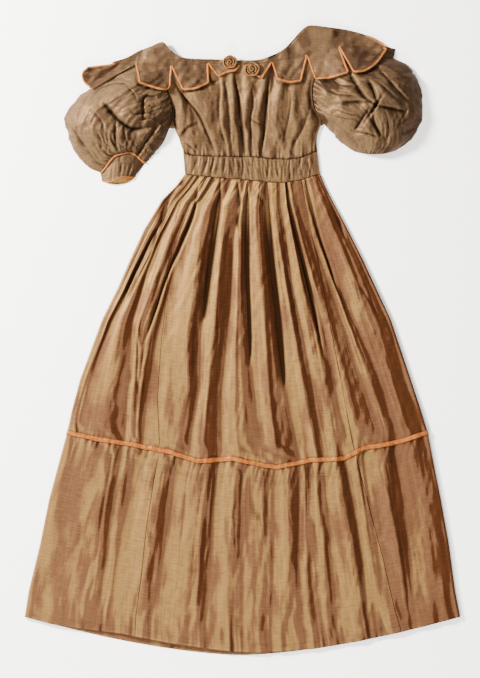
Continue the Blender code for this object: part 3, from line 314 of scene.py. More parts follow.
BAND_CREASES = creases(
    (4, 2.0, 1.0, ((95, 364), (94, 345), (96, 320))),
    (4, 2.0, 1.0, ((51, 362), (52, 342), (50, 319))),
    (4, 2.2, 1.0, ((1, 366), (2, 345), (-1, 322))),
    (4, 2.2, 1.0, ((-89, 371), (-94, 352), (-104, 328))),
    (4, 2.2, 1.0, ((-67, 370), (-73, 350), (-82, 328))),
    (3, 2.0, 1.0, ((-54, 369), (-58, 352), (-62, 338))),
    (3, 1.8, 0.8, ((-34, 368), (-35, 350), (-39, 333))),
    (3, 1.8, 0.8, ((-17, 368), (-16, 350), (-19, 326))),
    (3, 1.8, 0.8, ((22, 366), (21, 350), (24, 330))),
    (3, 1.8, 0.8, ((70, 362), (69, 345), (73, 326))),
    (3, 1.8, 0.8, ((117, 367), (116, 350), (120, 328))),
    (3, 1.8, 0.8, ((134, 373), (131, 355), (137, 334))),
)


class SleeveForm(NamedTuple):
    """The outline of one puffed sleeve as it lies, its heights along its length, and its creases."""

    side: Side
    armhole: tuple[Point, ...]
    outer: tuple[Point, ...]
    under: tuple[Point, ...]
    cuff_seam: tuple[Point, ...]
    mouth: tuple[Point, ...]
    heights: tuple[float, ...]
    hollows: tuple[Crease, ...]
    creases: tuple[Crease, ...]


LEFT_SLEEVE_CREASES = creases(
    (3.1, 1.6, 1.5, ((-299.8, 479), (-295, 491), (-277, 507), (-243, 513), (-214, 501))),
    (5, 2.1, 1, ((-277, 474), (-249, 441), (-239, 433), (-218, 421), (-193, 423))),
    (3.1, 1.5, 0.8, ((-197.6, 437), (-195.6, 483), (-171, 485))),
    (1.9, 1.3, 0.5, ((-343, 429), (-310, 381))),
    (1.6, 1.2, 0.4, ((-337, 379), (-307.8, 372))),
    (2.5, 1.7, 0.8, ((-251, 441), (-253, 397), (-247, 377))),
    (2.5, 2, 0.8, ((-149, 441), (-169, 425), (-201.8, 381), (-218, 351))),
    (1.6, 2, 0.4, ((-331, 437), (-325, 461.8), (-305.8, 491))),
    (1.9, 1.6, 0.5, ((-299.8, 459.8), (-279, 433), (-275, 409))),
    (1.9, 1.5, 0.5, ((-172, 447), (-190, 452), (-214, 449), (-226, 460))),
    (1.9, 1.3, 0.5, ((-166, 439), (-186, 441), (-206, 436))),
    (1.9, 1.5, 0.5, ((-160, 470), (-176, 463), (-190, 468))),
    (1.9, 1.7, 0.5, ((-236, 436), (-234, 410), (-226, 385))),
    (1.6, 1.6, 0.5, ((-290, 415), (-281, 395), (-283, 376))),
    (1.6, 1.6, 0.5, ((-271, 420), (-268, 396), (-272, 372))),
    (1.9, 1.7, 0.5, ((-300, 520), (-322, 496), (-334, 470))),
    (1.9, 1.5, 0.5, ((-232, 507), (-216, 491), (-208, 470))),
    # The last two rows are mostly painted shadow under the collar tabs' lower edges.
    (2.5, 2.6, 0.1, ((-148, 497), (-179, 500), (-209, 511), (-214, 540))),
    (3.7, 3, 0.2, ((-220, 542), (-250, 532), (-290, 514))),
)
RIGHT_SLEEVE_CREASES = creases(
    (3.3, 1.8, 0.9, ((210.6, 540), (223, 514), (242, 484.4), (266, 467.6))),
    (3.3, 1.8, 0.9, ((249, 521), (262.4, 491.8), (268, 467.6))),
    (3.3, 1.7, 0.9, ((266, 467.6), (290.2, 462.2), (329, 455))),
    (3.3, 1.7, 0.9, ((257, 467.6), (238.4, 440), (221.6, 414))),
    (3.3, 1.7, 0.9, ((258.8, 458.4), (262.4, 432.4), (277, 405))),
    (2.8, 1.6, 0.7, ((223.6, 415.8), (253, 410.2), (271.6, 403))),
    (2.2, 1.7, 0.7, ((197.6, 473), (243.8, 475), (262, 470))),
    (1.7, 1.5, 0.5, ((184.6, 458.4), (216.2, 449), (234.6, 447.2))),
    (1.7, 1.5, 0.5, ((186, 447), (208, 440), (228, 441))),
    (2.2, 1.7, 0.7, ((268, 549), (290.2, 517.6), (334.6, 473))),
    (2.2, 1.6, 0.7, ((257, 521), (277, 507), (318, 469.6))),
    (2.2, 1.7, 0.7, ((347.6, 451), (353, 429), (318, 410.2))),
    (2.2, 1.7, 0.7, ((334.6, 469.6), (312.4, 432.4), (304, 408))),
    (1.7, 1.5, 0.5, ((297.6, 521.4), (342, 523.2))),
    (1.7, 1.5, 0.5, ((180, 520), (196, 508), (224, 506))),
    (1.7, 1.5, 0.5, ((172, 500), (190, 489), (222, 486))),
    (1.7, 1.5, 0.5, ((283, 461), (290, 430), (288, 398))),
    (1.7, 1.6, 0.5, ((338, 446), (322, 437), (310, 422))),
    # The last two rows are mostly painted shadow under the collar tabs' lower edges.
    (2.2, 2.6, 0.1, ((146, 517), (175, 518), (209, 528))),
    (2.2, 2.6, 0.1, ((224, 529), (247, 533), (271, 552), (288, 574))),
)
SLEEVE_HEIGHT_LEVELS = (0.0, 0.12, 0.3, 0.5, 0.72, 0.9, 1.0)
SLEEVE_LEFT = SleeveForm(
    side=Side.LEFT,
    armhole=ARMHOLE_LEFT,
    outer=(
        (-209, 553), (-249, 539), (-289, 515), (-331, 485),
        (-354, 449), (-351, 413), (-331, 375), (-309, 347), (-286, 336),
    ),
    under=((-149, 417), (-155, 403), (-163, 389), (-175, 377), (-185, 367), (-192, 357)),
    cuff_seam=((-286, 336), (-258, 350), (-222, 358), (-192, 357)),
    mouth=((-281, 319), (-262, 314), (-235, 315), (-215, 326)),
    heights=(14, 27, 44, 50, 42, 26, 15),
    hollows=creases(
        (9, 9, 0, ((-300, 497), (-277, 516), (-243, 522), (-212, 510))),
        (17, 10, 0, ((-277, 474), (-249, 441), (-239, 433), (-218, 421), (-193, 423), (-166, 430))),
        (8, 7, 0, ((-197.6, 437), (-195.6, 483), (-171, 485))),
        (6, 7, 0, ((-343, 429), (-310, 381))),
        (7, 8, 0, ((-251, 441), (-253, 397), (-247, 377))),
        (9, 8, 0, ((-149, 441), (-169, 425), (-201.8, 381), (-218, 351))),
    ),
    creases=LEFT_SLEEVE_CREASES,
)
SLEEVE_RIGHT = SleeveForm(
    side=Side.RIGHT,
    armhole=ARMHOLE_RIGHT,
    outer=(
        (215, 590), (259, 571), (299, 565), (327, 551), (347, 527),
        (359, 497), (361, 467), (357, 439), (345, 411), (327, 393), (305, 379),
    ),
    under=((165, 430), (180, 414), (194, 400), (206, 390), (215, 383), (223, 378)),
    cuff_seam=((223, 378), (250, 373), (280, 373), (305, 379)),
    mouth=((232, 390), (252, 386), (278, 386), (296, 391)),
    heights=(14, 27, 46, 54, 48, 30, 17),
    hollows=creases(
        (20, 13, 0, ((262, 470), (268, 466))),
        (7, 7, 0, ((210.6, 540), (223, 514), (242, 484.4), (262, 470))),
        (7, 7, 0, ((249, 521), (262.4, 491.8), (268, 470))),
        (7, 7, 0, ((270, 467), (290.2, 462.2), (329, 455))),
        (8, 7, 0, ((259, 464), (238.4, 440), (221.6, 414))),
        (7, 7, 0, ((262, 460), (262.4, 432.4), (277, 405))),
        (6, 7, 0, ((197.6, 473), (243.8, 475))),
        (6, 8, 0, ((290.2, 517.6), (334.6, 473))),
        (6, 8, 0, ((347.6, 451), (346, 432), (318, 410.2))),
    ),
    creases=RIGHT_SLEEVE_CREASES,
)
ARMHOLE_ROOM = 1.6
SLEEVE_ROUND = 0.7
SLEEVE_LIFT_ENDS = (0.5, 0.64)
LEAST_PUFF = 9.0
CUFF_HEIGHT = 13.0
TUCKED_CUFF_HEIGHT = 10.0
TUCKED_CUFF_END_SHARE = 0.16
TUCKED_CUFF_RISES = (5.0, 12.0)


class Tab(NamedTuple):
    """A tab of the collar, from its place on the neck or shoulder line over its root to its outer edge."""

    name: str
    neck: tuple[Point, ...]
    root: tuple[Point, ...]
    outer: tuple[Point, ...]


COLLARS = {
    Side.LEFT: (
        Tab(
            "4",
            ((-3, 553), (-49, 556), (-71, 557.5)),
            ((-5, 550), (-69, 554)),
            ((-13, 539), (-31, 535), (-49, 527)),
        ),
        Tab(
            "3",
            ((-71, 557.5), (-113, 561), (-131, 569), (-145, 580)),
            ((-69, 554), (-141.4, 547)),
            ((-67, 515), (-91, 503), (-119, 500)),
        ),
        Tab(
            "2",
            ((-145, 580), (-159, 596), (-185, 587), (-207, 579)),
            ((-141.4, 547), (-213, 552)),
            ((-144, 507), (-153, 499), (-179, 504), (-205, 513)),
        ),
        Tab(
            "1",
            ((-207, 579), (-233, 565), (-259, 557)),
            ((-213, 552), (-255, 553)),
            ((-301, 501), (-317, 517), (-320, 533), (-309, 545)),
        ),
    ),
    Side.RIGHT: (
        Tab(
            "4",
            ((1, 553), (41, 555), (59, 564)),
            ((5, 550), (59, 556)),
            ((11, 539), (27, 529), (39, 523)),
        ),
        Tab(
            "3",
            ((59, 564), (91, 586), (105, 601)),
            ((59, 556), (129, 568)),
            ((70, 521), (95, 515), (117, 518)),
        ),
        Tab(
            "2",
            ((105, 601), (117, 615), (133, 629), (179, 625), (209, 621)),
            ((129, 568), (193, 586)),
            ((145, 521), (175, 523), (211, 533)),
        ),
        Tab(
            "1",
            ((209, 621), (239, 613), (263, 603), (287, 587)),
            ((193, 586), (283, 584)),
            ((221, 533), (243, 536), (267, 552), (288, 582)),
        ),
    ),
}


class BackCollar(NamedTuple):
    """One back half of the collar, which lies on the ground."""

    side: Side
    neck: tuple[Point, ...]
    fold: tuple[Point, ...]
    outer: tuple[Point, ...]


BACK_COLLARS = (
    BackCollar(
        Side.LEFT,
        neck=((-1.2, 543), (-60, 548), (-113, 552), (-140, 566), (-157, 588)),
        fold=((-157, 588), (-205, 572), (-250, 549)),
        outer=((-1.2, 452), (-80, 438), (-147, 425), (-215, 470), (-250, 549)),
    ),
    BackCollar(
        Side.RIGHT,
        neck=((1.2, 543), (50, 548), (85, 573), (112, 602), (133, 620)),
        fold=((133, 620), (215, 606), (306, 583)),
        outer=((1.2, 452), (80, 438), (152, 428), (235, 480), (296, 556), (306, 583)),
    ),
)
BACK_DAGS = 3
BACK_DAG_DEPTH = 12.0


class RosetteForm(NamedTuple):
    """Where a rosette sits, and its radius."""

    side: Side
    centre: Point
    radius: float


ROSETTES = (RosetteForm(Side.LEFT, (-25, 556), 14.0), RosetteForm(Side.RIGHT, (19, 541), 15.0))


class Noise:
    """Smooth noise between -1 and 1 on a lattice, always the same for a seed."""

    SIZE = 128

    def __init__(self, seed: int) -> None:
        """Fills the lattice.

        Args:
            seed: what the lattice is drawn from.
        """
        self.lattice: Array = np.random.default_rng(seed).uniform(-1, 1, (self.SIZE, self.SIZE))

    def smooth(self, u: Array, v: Array) -> Array:
        """Noise whose features are about one unit across.

        Args:
            u: places across.
            v: places down.

        Returns:
            A value for each place.
        """
        column = np.floor(u).astype(int)
        row = np.floor(v).astype(int)
        across = u - column
        down = v - row
        across = across**3 * (across * (across * 6 - 15) + 10)
        down = down**3 * (down * (down * 6 - 15) + 10)
        left, right = column % self.SIZE, (column + 1) % self.SIZE
        upper, lower = row % self.SIZE, (row + 1) % self.SIZE
        top = self.lattice[upper, left] * (1 - across) + self.lattice[upper, right] * across
        bottom = self.lattice[lower, left] * (1 - across) + self.lattice[lower, right] * across
        return top * (1 - down) + bottom * down

    def creased(self, u: Array, v: Array) -> Array:
        """Noise with sharp lines, as crisp silk crumples: valleys at one size, crests at the next.

        Args:
            u: places across.
            v: places down.

        Returns:
            A value for each place, about -1 to 1.
        """
        warped_u = u + 0.55 * self.smooth(u * 0.6 + 31, v * 0.6 + 7)
        warped_v = v + 0.55 * self.smooth(u * 0.6 + 3, v * 0.6 + 57)
        total = np.zeros_like(u)
        for octave, (scale, weight) in enumerate(((1.0, 0.62), (2.3, -0.36), (4.9, 0.2))):
            line = np.abs(self.smooth(warped_u * scale + 17 * octave, warped_v * scale + 23 * octave))
            total = total + weight * (3.2 * line - 1)
        return total

    def facets(self, u: Array, v: Array) -> Array:
        """Noise of flat facets between sharp lines, as stiff silk that was crushed.

        Args:
            u: places across.
            v: places down.

        Returns:
            A value for each place, about -1 to 1.
        """
        total = np.zeros_like(u)
        for turn in range(6):
            angle = 0.52 * turn + 0.3 * self.lattice[turn, 0]
            along = u * math.cos(angle) + v * math.sin(angle)
            bent = along + 0.9 * self.smooth(u * 0.5 + 9 * turn, v * 0.5 + 5)
            wave = 2 * np.abs(np.mod(bent, 2.0) - 1) - 1
            strength = np.clip(0.35 + 1.6 * self.smooth(u * 0.45 + 13 * turn, v * 0.45 + 71), 0, 1)
            total = total + wave * strength
        return total / 2


def smooth_line(points: Sequence[Point], shares: Array) -> Array:
    """Points along the smooth line through a table's points.

    Args:
        points: the table's points, with two or more numbers each.
        shares: shares of the line's length.

    Returns:
        One point for each share.
    """
    table = np.asarray(points, float)
    table = np.vstack([2 * table[0] - table[1], table, 2 * table[-1] - table[-2]])
    step = np.linspace(0, 1, 12, endpoint=False)[:, None]
    runs = []
    for a, b, c, d in zip(table, table[1:], table[2:], table[3:]):
        curve = step * ((c - a) + step * ((2 * a - 5 * b + 4 * c - d) + step * (3 * (b - c) + d - a)))
        runs.append(b + 0.5 * curve)
    line = np.vstack(runs + [table[-2:-1]])
    lengths = np.concatenate([[0], np.cumsum(np.linalg.norm(np.diff(line, axis=0), axis=1))])
    places = np.asarray(shares, float) * lengths[-1]
    return np.stack([np.interp(places, lengths, line[:, axis]) for axis in range(line.shape[1])], axis=-1)


def closed_line(ring: Array, step: int, count: int) -> Array:
    """So many points round a ring, smoothed through every so many of its own."""
    return smooth_line([*ring[::step], ring[0]], np.linspace(0, 1, count))[:-1]


def patch(
    left: Sequence[Point],
    right: Sequence[Point],
    top: Sequence[Point],
    bottom: Sequence[Point],
    across: Array,
    down: Array,
) -> Array:
    """Plan points inside four edge lines.

    Args:
        left: the left edge, from the top down.
        right: the right edge, from the top down.
        top: the top edge, from left to right.
        bottom: the bottom edge, from left to right.
        across: shares across.
        down: shares down.

    Returns:
        A plan point for each pair of shares.
    """
    upper = smooth_line(top, across)
    lower = smooth_line(bottom, across)
    across = across[..., None]
    down_share = down[..., None]
    sides = (1 - across) * smooth_line(left, down) + across * smooth_line(right, down)
    ends = (1 - down_share) * upper + down_share * lower
    corners = (1 - down_share) * ((1 - across) * np.array(top[0]) + across * np.array(top[-1]))
    corners = corners + down_share * ((1 - across) * np.array(bottom[0]) + across * np.array(bottom[-1]))
    return sides + ends - corners


def grid(columns: int, rows: int) -> tuple[Array, Array]:
    """Shares across and down of an even grid with so many cells."""
    across, down = np.meshgrid(np.linspace(0, 1, columns + 1), np.linspace(0, 1, rows + 1))
    return across, down


def eased(share: Array) -> Array:
    """A share that starts and ends gently."""
    return (1 - np.cos(np.pi * np.clip(share, 0, 1))) / 2


def crisp(share: Array, softness: float = 0.6) -> Array:
    """A share with a slight edge at both ends, as a fold in stiff silk has; softness 1 rounds it."""
    return softness * eased(share) + (1 - softness) * np.clip(share, 0, 1)


def hump(off: Array, width: float) -> Array:
    """A soft hump that is 1 where a distance is 0 and fades over the width."""
    return np.exp(-((off / width) ** 2))


def looked_up(table: Sequence[Point], places: Array) -> Array:
    """The values that a table of pairs has at places between its own."""
    return np.interp(places, *zip(*table))


def creases_over(x: Array, y: Array, creases: Sequence[Crease], steps: int = 18) -> tuple[Array, Array]:
    """The relief of creases that run over the cloth.

    Args:
        x: where the cloth is across.
        y: where the cloth is along.
        creases: the creases.
        steps: how many straight runs make one route.

    Returns:
        The height that they add, and the painted shade of the creases at each place, from 0 to 1, darkest on
        a crease's line.
    """
    height = np.zeros_like(x)
    depth = np.zeros_like(x)
    for crease in creases:
        route = smooth_line(crease.route, np.linspace(0, 1, steps + 1))
        reach = 5 * crease.width
        low, high = route.min(axis=0) - reach, route.max(axis=0) + reach
        near = (x > low[0]) & (x < high[0]) & (y > low[1]) & (y < high[1])
        if not near.any():
            continue
        here_x, here_y = x[near], y[near]
        best = np.full(here_x.shape, np.inf)
        side = np.zeros_like(best)
        along = np.zeros_like(best)
        for index, ((ax, ay), (bx, by)) in enumerate(zip(route, route[1:])):
            run_x, run_y = bx - ax, by - ay
            share = ((here_x - ax) * run_x + (here_y - ay) * run_y) / (run_x**2 + run_y**2)
            share = np.clip(share, 0, 1)
            off = np.hypot(here_x - ax - share * run_x, here_y - ay - share * run_y)
            closer = off < best
            best = np.where(closer, off, best)
            side = np.where(closer, np.sign(run_x * (here_y - ay) - run_y * (here_x - ax)), side)
            along = np.where(closer, (index + share) / steps, along)
        taper = np.clip(4 * np.minimum(along, 1 - along), 0, 1) ** 0.7
        reach_here = crease.width * np.where(side > 0, 0.75, 1.45)
        trough = np.exp(-np.sqrt((best / reach_here) ** 2 + 0.04) + 0.2) * taper
        lip = np.exp(-(((best * side - 2.4 * crease.width) / (1.6 * crease.width)) ** 2)) * taper
        height[near] += crease.lip * lip - crease.depth * trough
        # narrow is painted shade: darkest on the crease's line, fading to each side.
        narrow = np.exp(-1.3 * best / reach_here) * taper
        depth[near] = np.maximum(depth[near], narrow * min(1.0, 0.42 + crease.depth / 9))
    return height, depth


def blurred(values: Array, radius: int, axis: int) -> Array:
    """Values evened out along one axis of a grid.

    Args:
        values: the grid.
        radius: how many neighbours on each side count.
        axis: the axis.

    Returns:
        A grid of the same shape.
    """
    total = np.zeros_like(values)
    size = values.shape[axis]
    index = np.arange(size)
    for shift in range(-radius, radius + 1):
        total = total + np.take(values, np.clip(index + shift, 0, size - 1), axis=axis)
    return total / (2 * radius + 1)


@dataclass
class Wire:
    """A shader value that can be used in sums."""

    tree: "FinishTree"
    socket: bpy.types.NodeSocket

    def _sum(self, operation: str, first: "Wire | float", second: "Wire | float") -> "Wire":
        """Adds one Math node."""
        return self.tree.node("ShaderNodeMath", {"operation": operation}, {0: first, 1: second})

    def __add__(self, other: "Wire | float") -> "Wire":
        """This plus another."""
        return self._sum("ADD", self, other)

    def __radd__(self, other: "Wire | float") -> "Wire":
        """Another plus this."""
        return self._sum("ADD", other, self)

    def __sub__(self, other: "Wire | float") -> "Wire":
        """This less another."""
        return self._sum("SUBTRACT", self, other)

    def __rsub__(self, other: "Wire | float") -> "Wire":
        """Another less this."""
        return self._sum("SUBTRACT", other, self)

    def __mul__(self, other: "Wire | float") -> "Wire":
        """This times another."""
        return self._sum("MULTIPLY", self, other)

    def __rmul__(self, other: "Wire | float") -> "Wire":
        """Another times this."""
        return self._sum("MULTIPLY", other, self)

    def clamped(self) -> "Wire":
        """This, held between 0 and 1."""
        return self.tree.node("ShaderNodeClamp", {}, {0: self})


class FinishTree:
    """The node tree of one material."""

    def __init__(self, name: str) -> None:
        """Makes a material that holds only its Principled shader.

        Args:
            name: the material's name.
        """
        self.material = bpy.data.materials.new(name)
        self.material.use_nodes = True
        self.nodes = self.material.node_tree.nodes
        self.links = self.material.node_tree.links
        self.shader = self.nodes["Principled BSDF"]

    def node(
        self, kind: str, settings: dict[str, object], inputs: dict[int | str, object], output: int | str = 0
    ) -> Wire:
        """Adds a node.

        Args:
            kind: the node's type.
            settings: its own settings, which are set first.
            inputs: the values or wires of its sockets.
            output: the socket that is wanted.

        Returns:
            The wanted output.
        """
        made = self.nodes.new(kind)
        for key, value in settings.items():
            setattr(made, key, value)
        for key, value in inputs.items():
            self.feed(made.inputs[key], value)
        return Wire(self, made.outputs[output])

    def feed(self, socket: bpy.types.NodeSocket, value: object) -> None:
        """Links or sets one socket.

        Args:
            socket: the socket.
            value: a wire, a number, or a colour or vector.
        """
        if isinstance(value, Wire):
            self.links.new(value.socket, socket)
        else:
            socket.default_value = value

    def noise(self, place: Wire, scale: tuple[float, float, float], detail: float = 2.0) -> Wire:
        """Noise round 0.5 at places, with so many features a metre along each axis."""
        moved = self.node("ShaderNodeVectorMath", {"operation": "MULTIPLY"}, {0: place, 1: scale})
        return self.node("ShaderNodeTexNoise", {}, {"Vector": moved, "Scale": 1.0, "Detail": detail})

    def mix(
        self, share: Wire | float, first: Wire | Colour, second: Wire | Colour, blend: str = "MIX"
    ) -> Wire:
        """A mix of two colours.

        Args:
            share: how much of the second.
            first: a wire or a colour.
            second: a wire or a colour.
            blend: the way in which they mix.

        Returns:
            The mixed colour.
        """
        made = self.nodes.new("ShaderNodeMix")
        made.data_type = "RGBA"
        made.blend_type = blend
        self.feed(made.inputs[0], share)
        self.feed(made.inputs[6], first if isinstance(first, Wire) else (*first, 1))
        self.feed(made.inputs[7], second if isinstance(second, Wire) else (*second, 1))
        return Wire(self, made.outputs[2])

    def attribute(self, name: str) -> Wire:
        """A value that the piece's mesh carries."""
        return self.node("ShaderNodeAttribute", {"attribute_name": name}, {}, "Fac")

    def finish(
        self,
        colour: Wire,
        roughness: Wire,
        bump: Wire,
        strength: float,
        depth: float,
        metal: Wire | float = 0.0,
    ) -> bpy.types.Material:
        """Feeds the shader.

        Args:
            colour: the base colour.
            roughness: the roughness.
            bump: the height that the bump reads.
            strength: the bump's strength.
            depth: the bump's depth in metres.
            metal: how far the gloss takes the cloth's own colour.

        Returns:
            The material.
        """
        normal = self.node("ShaderNodeBump", {}, {"Strength": strength, "Distance": depth, "Height": bump})
        fed = {"Metallic": metal, "Base Color": colour, "Roughness": roughness, "Normal": normal}
        for socket, value in fed.items():
            self.feed(self.shader.inputs[socket], value)
        return self.material


@dataclass(frozen=True)
class Taffeta:
    """Shot silk taffeta, coloured with painted light and shade: a lit, a half-shaded and a shaded tone
    picked by the painted slope shade with random tone over it, and near-black painted shade in creases.
    """

    name: str
    # light, middle and dark are lit, half-shaded and shaded tones of one silk; crease is the near-black
    # painted shade of creases.
    light: Colour
    middle: Colour
    dark: Colour
    crease: Colour
    gloss: Colour = (1.0, 0.52, 0.20)
    roughness: float = 0.47

    def build(self) -> bpy.types.Material:
        """Makes the material, which reads the piece's weave map, its painted slope shade (fall) and its
        painted crease shade (crease).
        """
        tree = FinishTree(self.name)
        weave = tree.node("ShaderNodeUVMap", {"uv_map": "weave"}, {})
        weft = tree.noise(weave, (24, 950, 1), 3)
        slub = tree.noise(weave, (60, 420, 1), 2)
        warp = tree.noise(weave, (420, 14, 1), 3)
        cloud = tree.noise(weave, (75, 9, 1), 3)
        blot = tree.noise(weave, (16, 6, 1), 4)
        # shaded is the painted shade of creases, hollows and overlaps.
        shaded = tree.attribute("crease") * 1.15
        # turn is painted slope shade with random tone over it: it picks the lit, half-shaded or shaded tone.
        turn = tree.attribute("fall") + (cloud - 0.5) * 0.9 + (blot - 0.5) * 1.9 + (warp - 0.5) * 0.7
        colour = tree.mix(((turn - 0.03) * 4.7).clamped(), self.light, self.middle)
        colour = tree.mix(((turn - 0.602) * 6.5).clamped(), colour, self.dark)
        threads = (0.5 + (weft - 0.5) * 1.2 + (slub - 0.5) * 1.1 + (warp - 0.5) * 1.1).clamped()
        colour = tree.mix(0.36, colour, threads, "SOFT_LIGHT")
        colour = tree.mix(shaded.clamped(), colour, self.crease)
        roughness = self.roughness + (weft - 0.5) * 0.25
        # Creases lose their gloss, so that their painted shade stays near black.
        metal = (0.16 - shaded * 0.16).clamped()
        bump = weft * 0.6 + warp * 0.5 + slub * 0.5
        tree.shader.inputs["Specular IOR Level"].default_value = 0.12
        tree.shader.inputs["Specular Tint"].default_value = (*self.gloss, 1)
        return tree.finish(colour, roughness, bump, 0.35, 0.0005, metal)


@dataclass(frozen=True)
class Satin:
    """Orange silk satin cut on the bias, slightly worn."""

    name: str
    light: Colour
    dark: Colour
    roughness: float = 0.42

    def build(self) -> bpy.types.Material:
        """Makes the material, which reads the piece's weave map and its painted crease shade."""
        tree = FinishTree(self.name)
        weave = tree.node("ShaderNodeUVMap", {"uv_map": "weave"}, {})
        pull = tree.noise(weave, (160, 260, 1), 3)
        thread = tree.noise(weave, (900, 900, 1), 1)
        wear = tree.noise(weave, (30, 40, 1), 3)
        # The crease value adds painted shade to the random pull and wear.
        share = ((pull - 0.5) * 1.6 + (wear - 0.5) * 1.2 + 0.4 + tree.attribute("crease")).clamped()
        colour = tree.mix(share, self.light, self.dark)
        tree.shader.inputs["Specular IOR Level"].default_value = 0.3
        tree.shader.inputs["Specular Tint"].default_value = (1.0, 0.5, 0.22, 1)
        roughness = self.roughness + (wear - 0.5) * 0.3
        return tree.finish(colour, roughness, pull * 0.7 + thread * 0.3, 0.4, 0.0006)


@dataclass(frozen=True)
class Thread:
    """Silk sewing thread."""

    name: str
    colour: Colour

    def build(self) -> bpy.types.Material:
        """Makes the material, with a fine twist on the piece's own coordinates."""
        tree = FinishTree(self.name)
        place = tree.node("ShaderNodeTexCoord", {}, {}, "Object")
        twist = tree.noise(place, (2500, 2500, 2500), 1)
        colour = tree.mix(twist, self.colour, tuple(0.5 * value for value in self.colour))
        return tree.finish(colour, 0.5 + (twist - 0.5) * 0.2, twist, 0.3, 0.0002)


SKIRT_SILK = Taffeta(
    "skirt_silk",
    light=(0.126, 0.0690, 0.0228),
    middle=(0.075, 0.0334, 0.0160),
    dark=(0.034, 0.0108, 0.0042),
    crease=(0.0042, 0.0013, 0.0005),
)
BODICE_SILK = Taffeta(
    "bodice_silk",
    light=(0.084, 0.0485, 0.0215),
    middle=(0.055, 0.0302, 0.0150),
    dark=(0.030, 0.0143, 0.0072),
    crease=(0.0045, 0.0022, 0.0012),
)
SLEEVE_SILK = Taffeta(
    "sleeve_silk",
    light=(0.072, 0.0432, 0.0205),
    middle=(0.047, 0.0270, 0.0145),
    dark=(0.025, 0.0135, 0.0073),
    crease=(0.0040, 0.0023, 0.0013),
)
COLLAR_SILK = Taffeta(
    "collar_silk",
    light=(0.064, 0.0375, 0.0190),
    middle=(0.040, 0.0220, 0.0118),
    dark=(0.022, 0.0115, 0.0062),
    crease=(0.0050, 0.0028, 0.0016),
)
CUFF_LINING = Taffeta(
    "cuff_lining",
    light=(0.34, 0.200, 0.065),
    middle=(0.22, 0.110, 0.030),
    dark=(0.090, 0.036, 0.009),
    crease=(0.008, 0.003, 0.001),
)
RIBBON_SATIN = Satin("ribbon_satin", (0.250, 0.078, 0.0165), (0.088, 0.021, 0.0040))
BINDING_SATIN = Satin("binding_satin", (0.245, 0.078, 0.0170), (0.085, 0.020, 0.0036))
SEAM_THREAD = Thread("seam_thread", (0.020, 0.010, 0.005))


class Wardrobe:
    """Every finish, made once."""

    def __init__(self) -> None:
        """Starts with nothing made."""
        self.made: dict[str, bpy.types.Material] = {}

    def get(self, finish: Taffeta | Satin | Thread) -> bpy.types.Material:
        """The material of a finish."""
        if finish.name not in self.made:
            self.made[finish.name] = finish.build()
        return self.made[finish.name]


@dataclass
class Cloth:
    """A grid of points in millimetres, with its weave and what its finish reads at each point: fall, the
    painted shade from its slope, and crease, the painted shade in its creases and hollows.
    """

    name: str
    points: Array
    weave: Array | None = None
    fall: Array | None = None
    crease: Array | None = None
    ring: bool = False
    thickness: float = 0.9
    hollow_shade_gain: float = 0.7

    def __post_init__(self) -> None:
        """Fills in the weave from the lengths along the grid and the painted slope shade (fall) from its
        slope, then adds painted shade in hollows and painted light on ridges.
        """
        if self.weave is None:
            self.weave = self._lengths()
        if self.fall is None:
            self.fall = slope_shade_of(self.points)
        if self.crease is None:
            self.crease = np.zeros(self.points.shape[:2])
        # Painted shade in the hollows and painted light on the ridges, from how far each place lies below
        # those round it.
        hollow_shade_and_ridge_light = self.hollow_shade_gain * hollow_of(self.points)
        self.crease = self.crease + 0.55 * np.clip(hollow_shade_and_ridge_light, 0, 1)
        self.fall = np.clip(self.fall + 0.35 * np.clip(hollow_shade_and_ridge_light, -1, 1), 0, 1)

    def _lengths(self) -> Array:
        """The cloth's own lengths across and down, averaged so that its threads run straight."""
        across = np.linalg.norm(np.diff(self.points, axis=1), axis=2).mean(axis=0)
        down = np.linalg.norm(np.diff(self.points, axis=0), axis=2).mean(axis=1)
        u, v = np.meshgrid(np.concatenate([[0], np.cumsum(across)]), np.concatenate([[0], np.cumsum(down)]))
        return np.dstack([u, v])

    def build(
        self, material: bpy.types.Material, lining: bpy.types.Material | None = None
    ) -> bpy.types.Object:
        """Makes the thin shell.

        Args:
            material: its finish.
            lining: the finish of its inner side, if that is another.

        Returns:
            The object.
        """
        rows, columns = self.points.shape[:2]
        last = columns if self.ring else columns - 1
        row, column = np.meshgrid(np.arange(rows - 1), np.arange(last), indexing="ij")
        here = (row * columns + column).ravel()
        beside = (row * columns + (column + 1) % columns).ravel()
        faces = np.stack([here, here + columns, beside + columns, beside], axis=1)
        mesh = bpy.data.meshes.new(self.name)
        mesh.from_pydata((self.points.reshape(-1, 3) * MM).tolist(), [], faces.tolist())
        weave = self.weave.reshape(-1, 2) * MM
        corners = weave[faces].copy()
        if self.ring:
            closing = column.ravel() == columns - 1
            width = MM * np.linalg.norm(self.points[:, 0] - self.points[:, -1], axis=1).mean()
            for corner in (2, 3):
                corners[closing, corner, 0] = weave[-1, 0] + width
        mesh.uv_layers.new(name="weave").data.foreach_set("uv", corners.reshape(-1).astype(np.float32))
        # fall and crease carry the painted slope shade and the painted shade in creases and hollows.
        values = {"fall": self.fall, "crease": self.crease}
        return finished(self.name, mesh, values, self.thickness, material, lining)


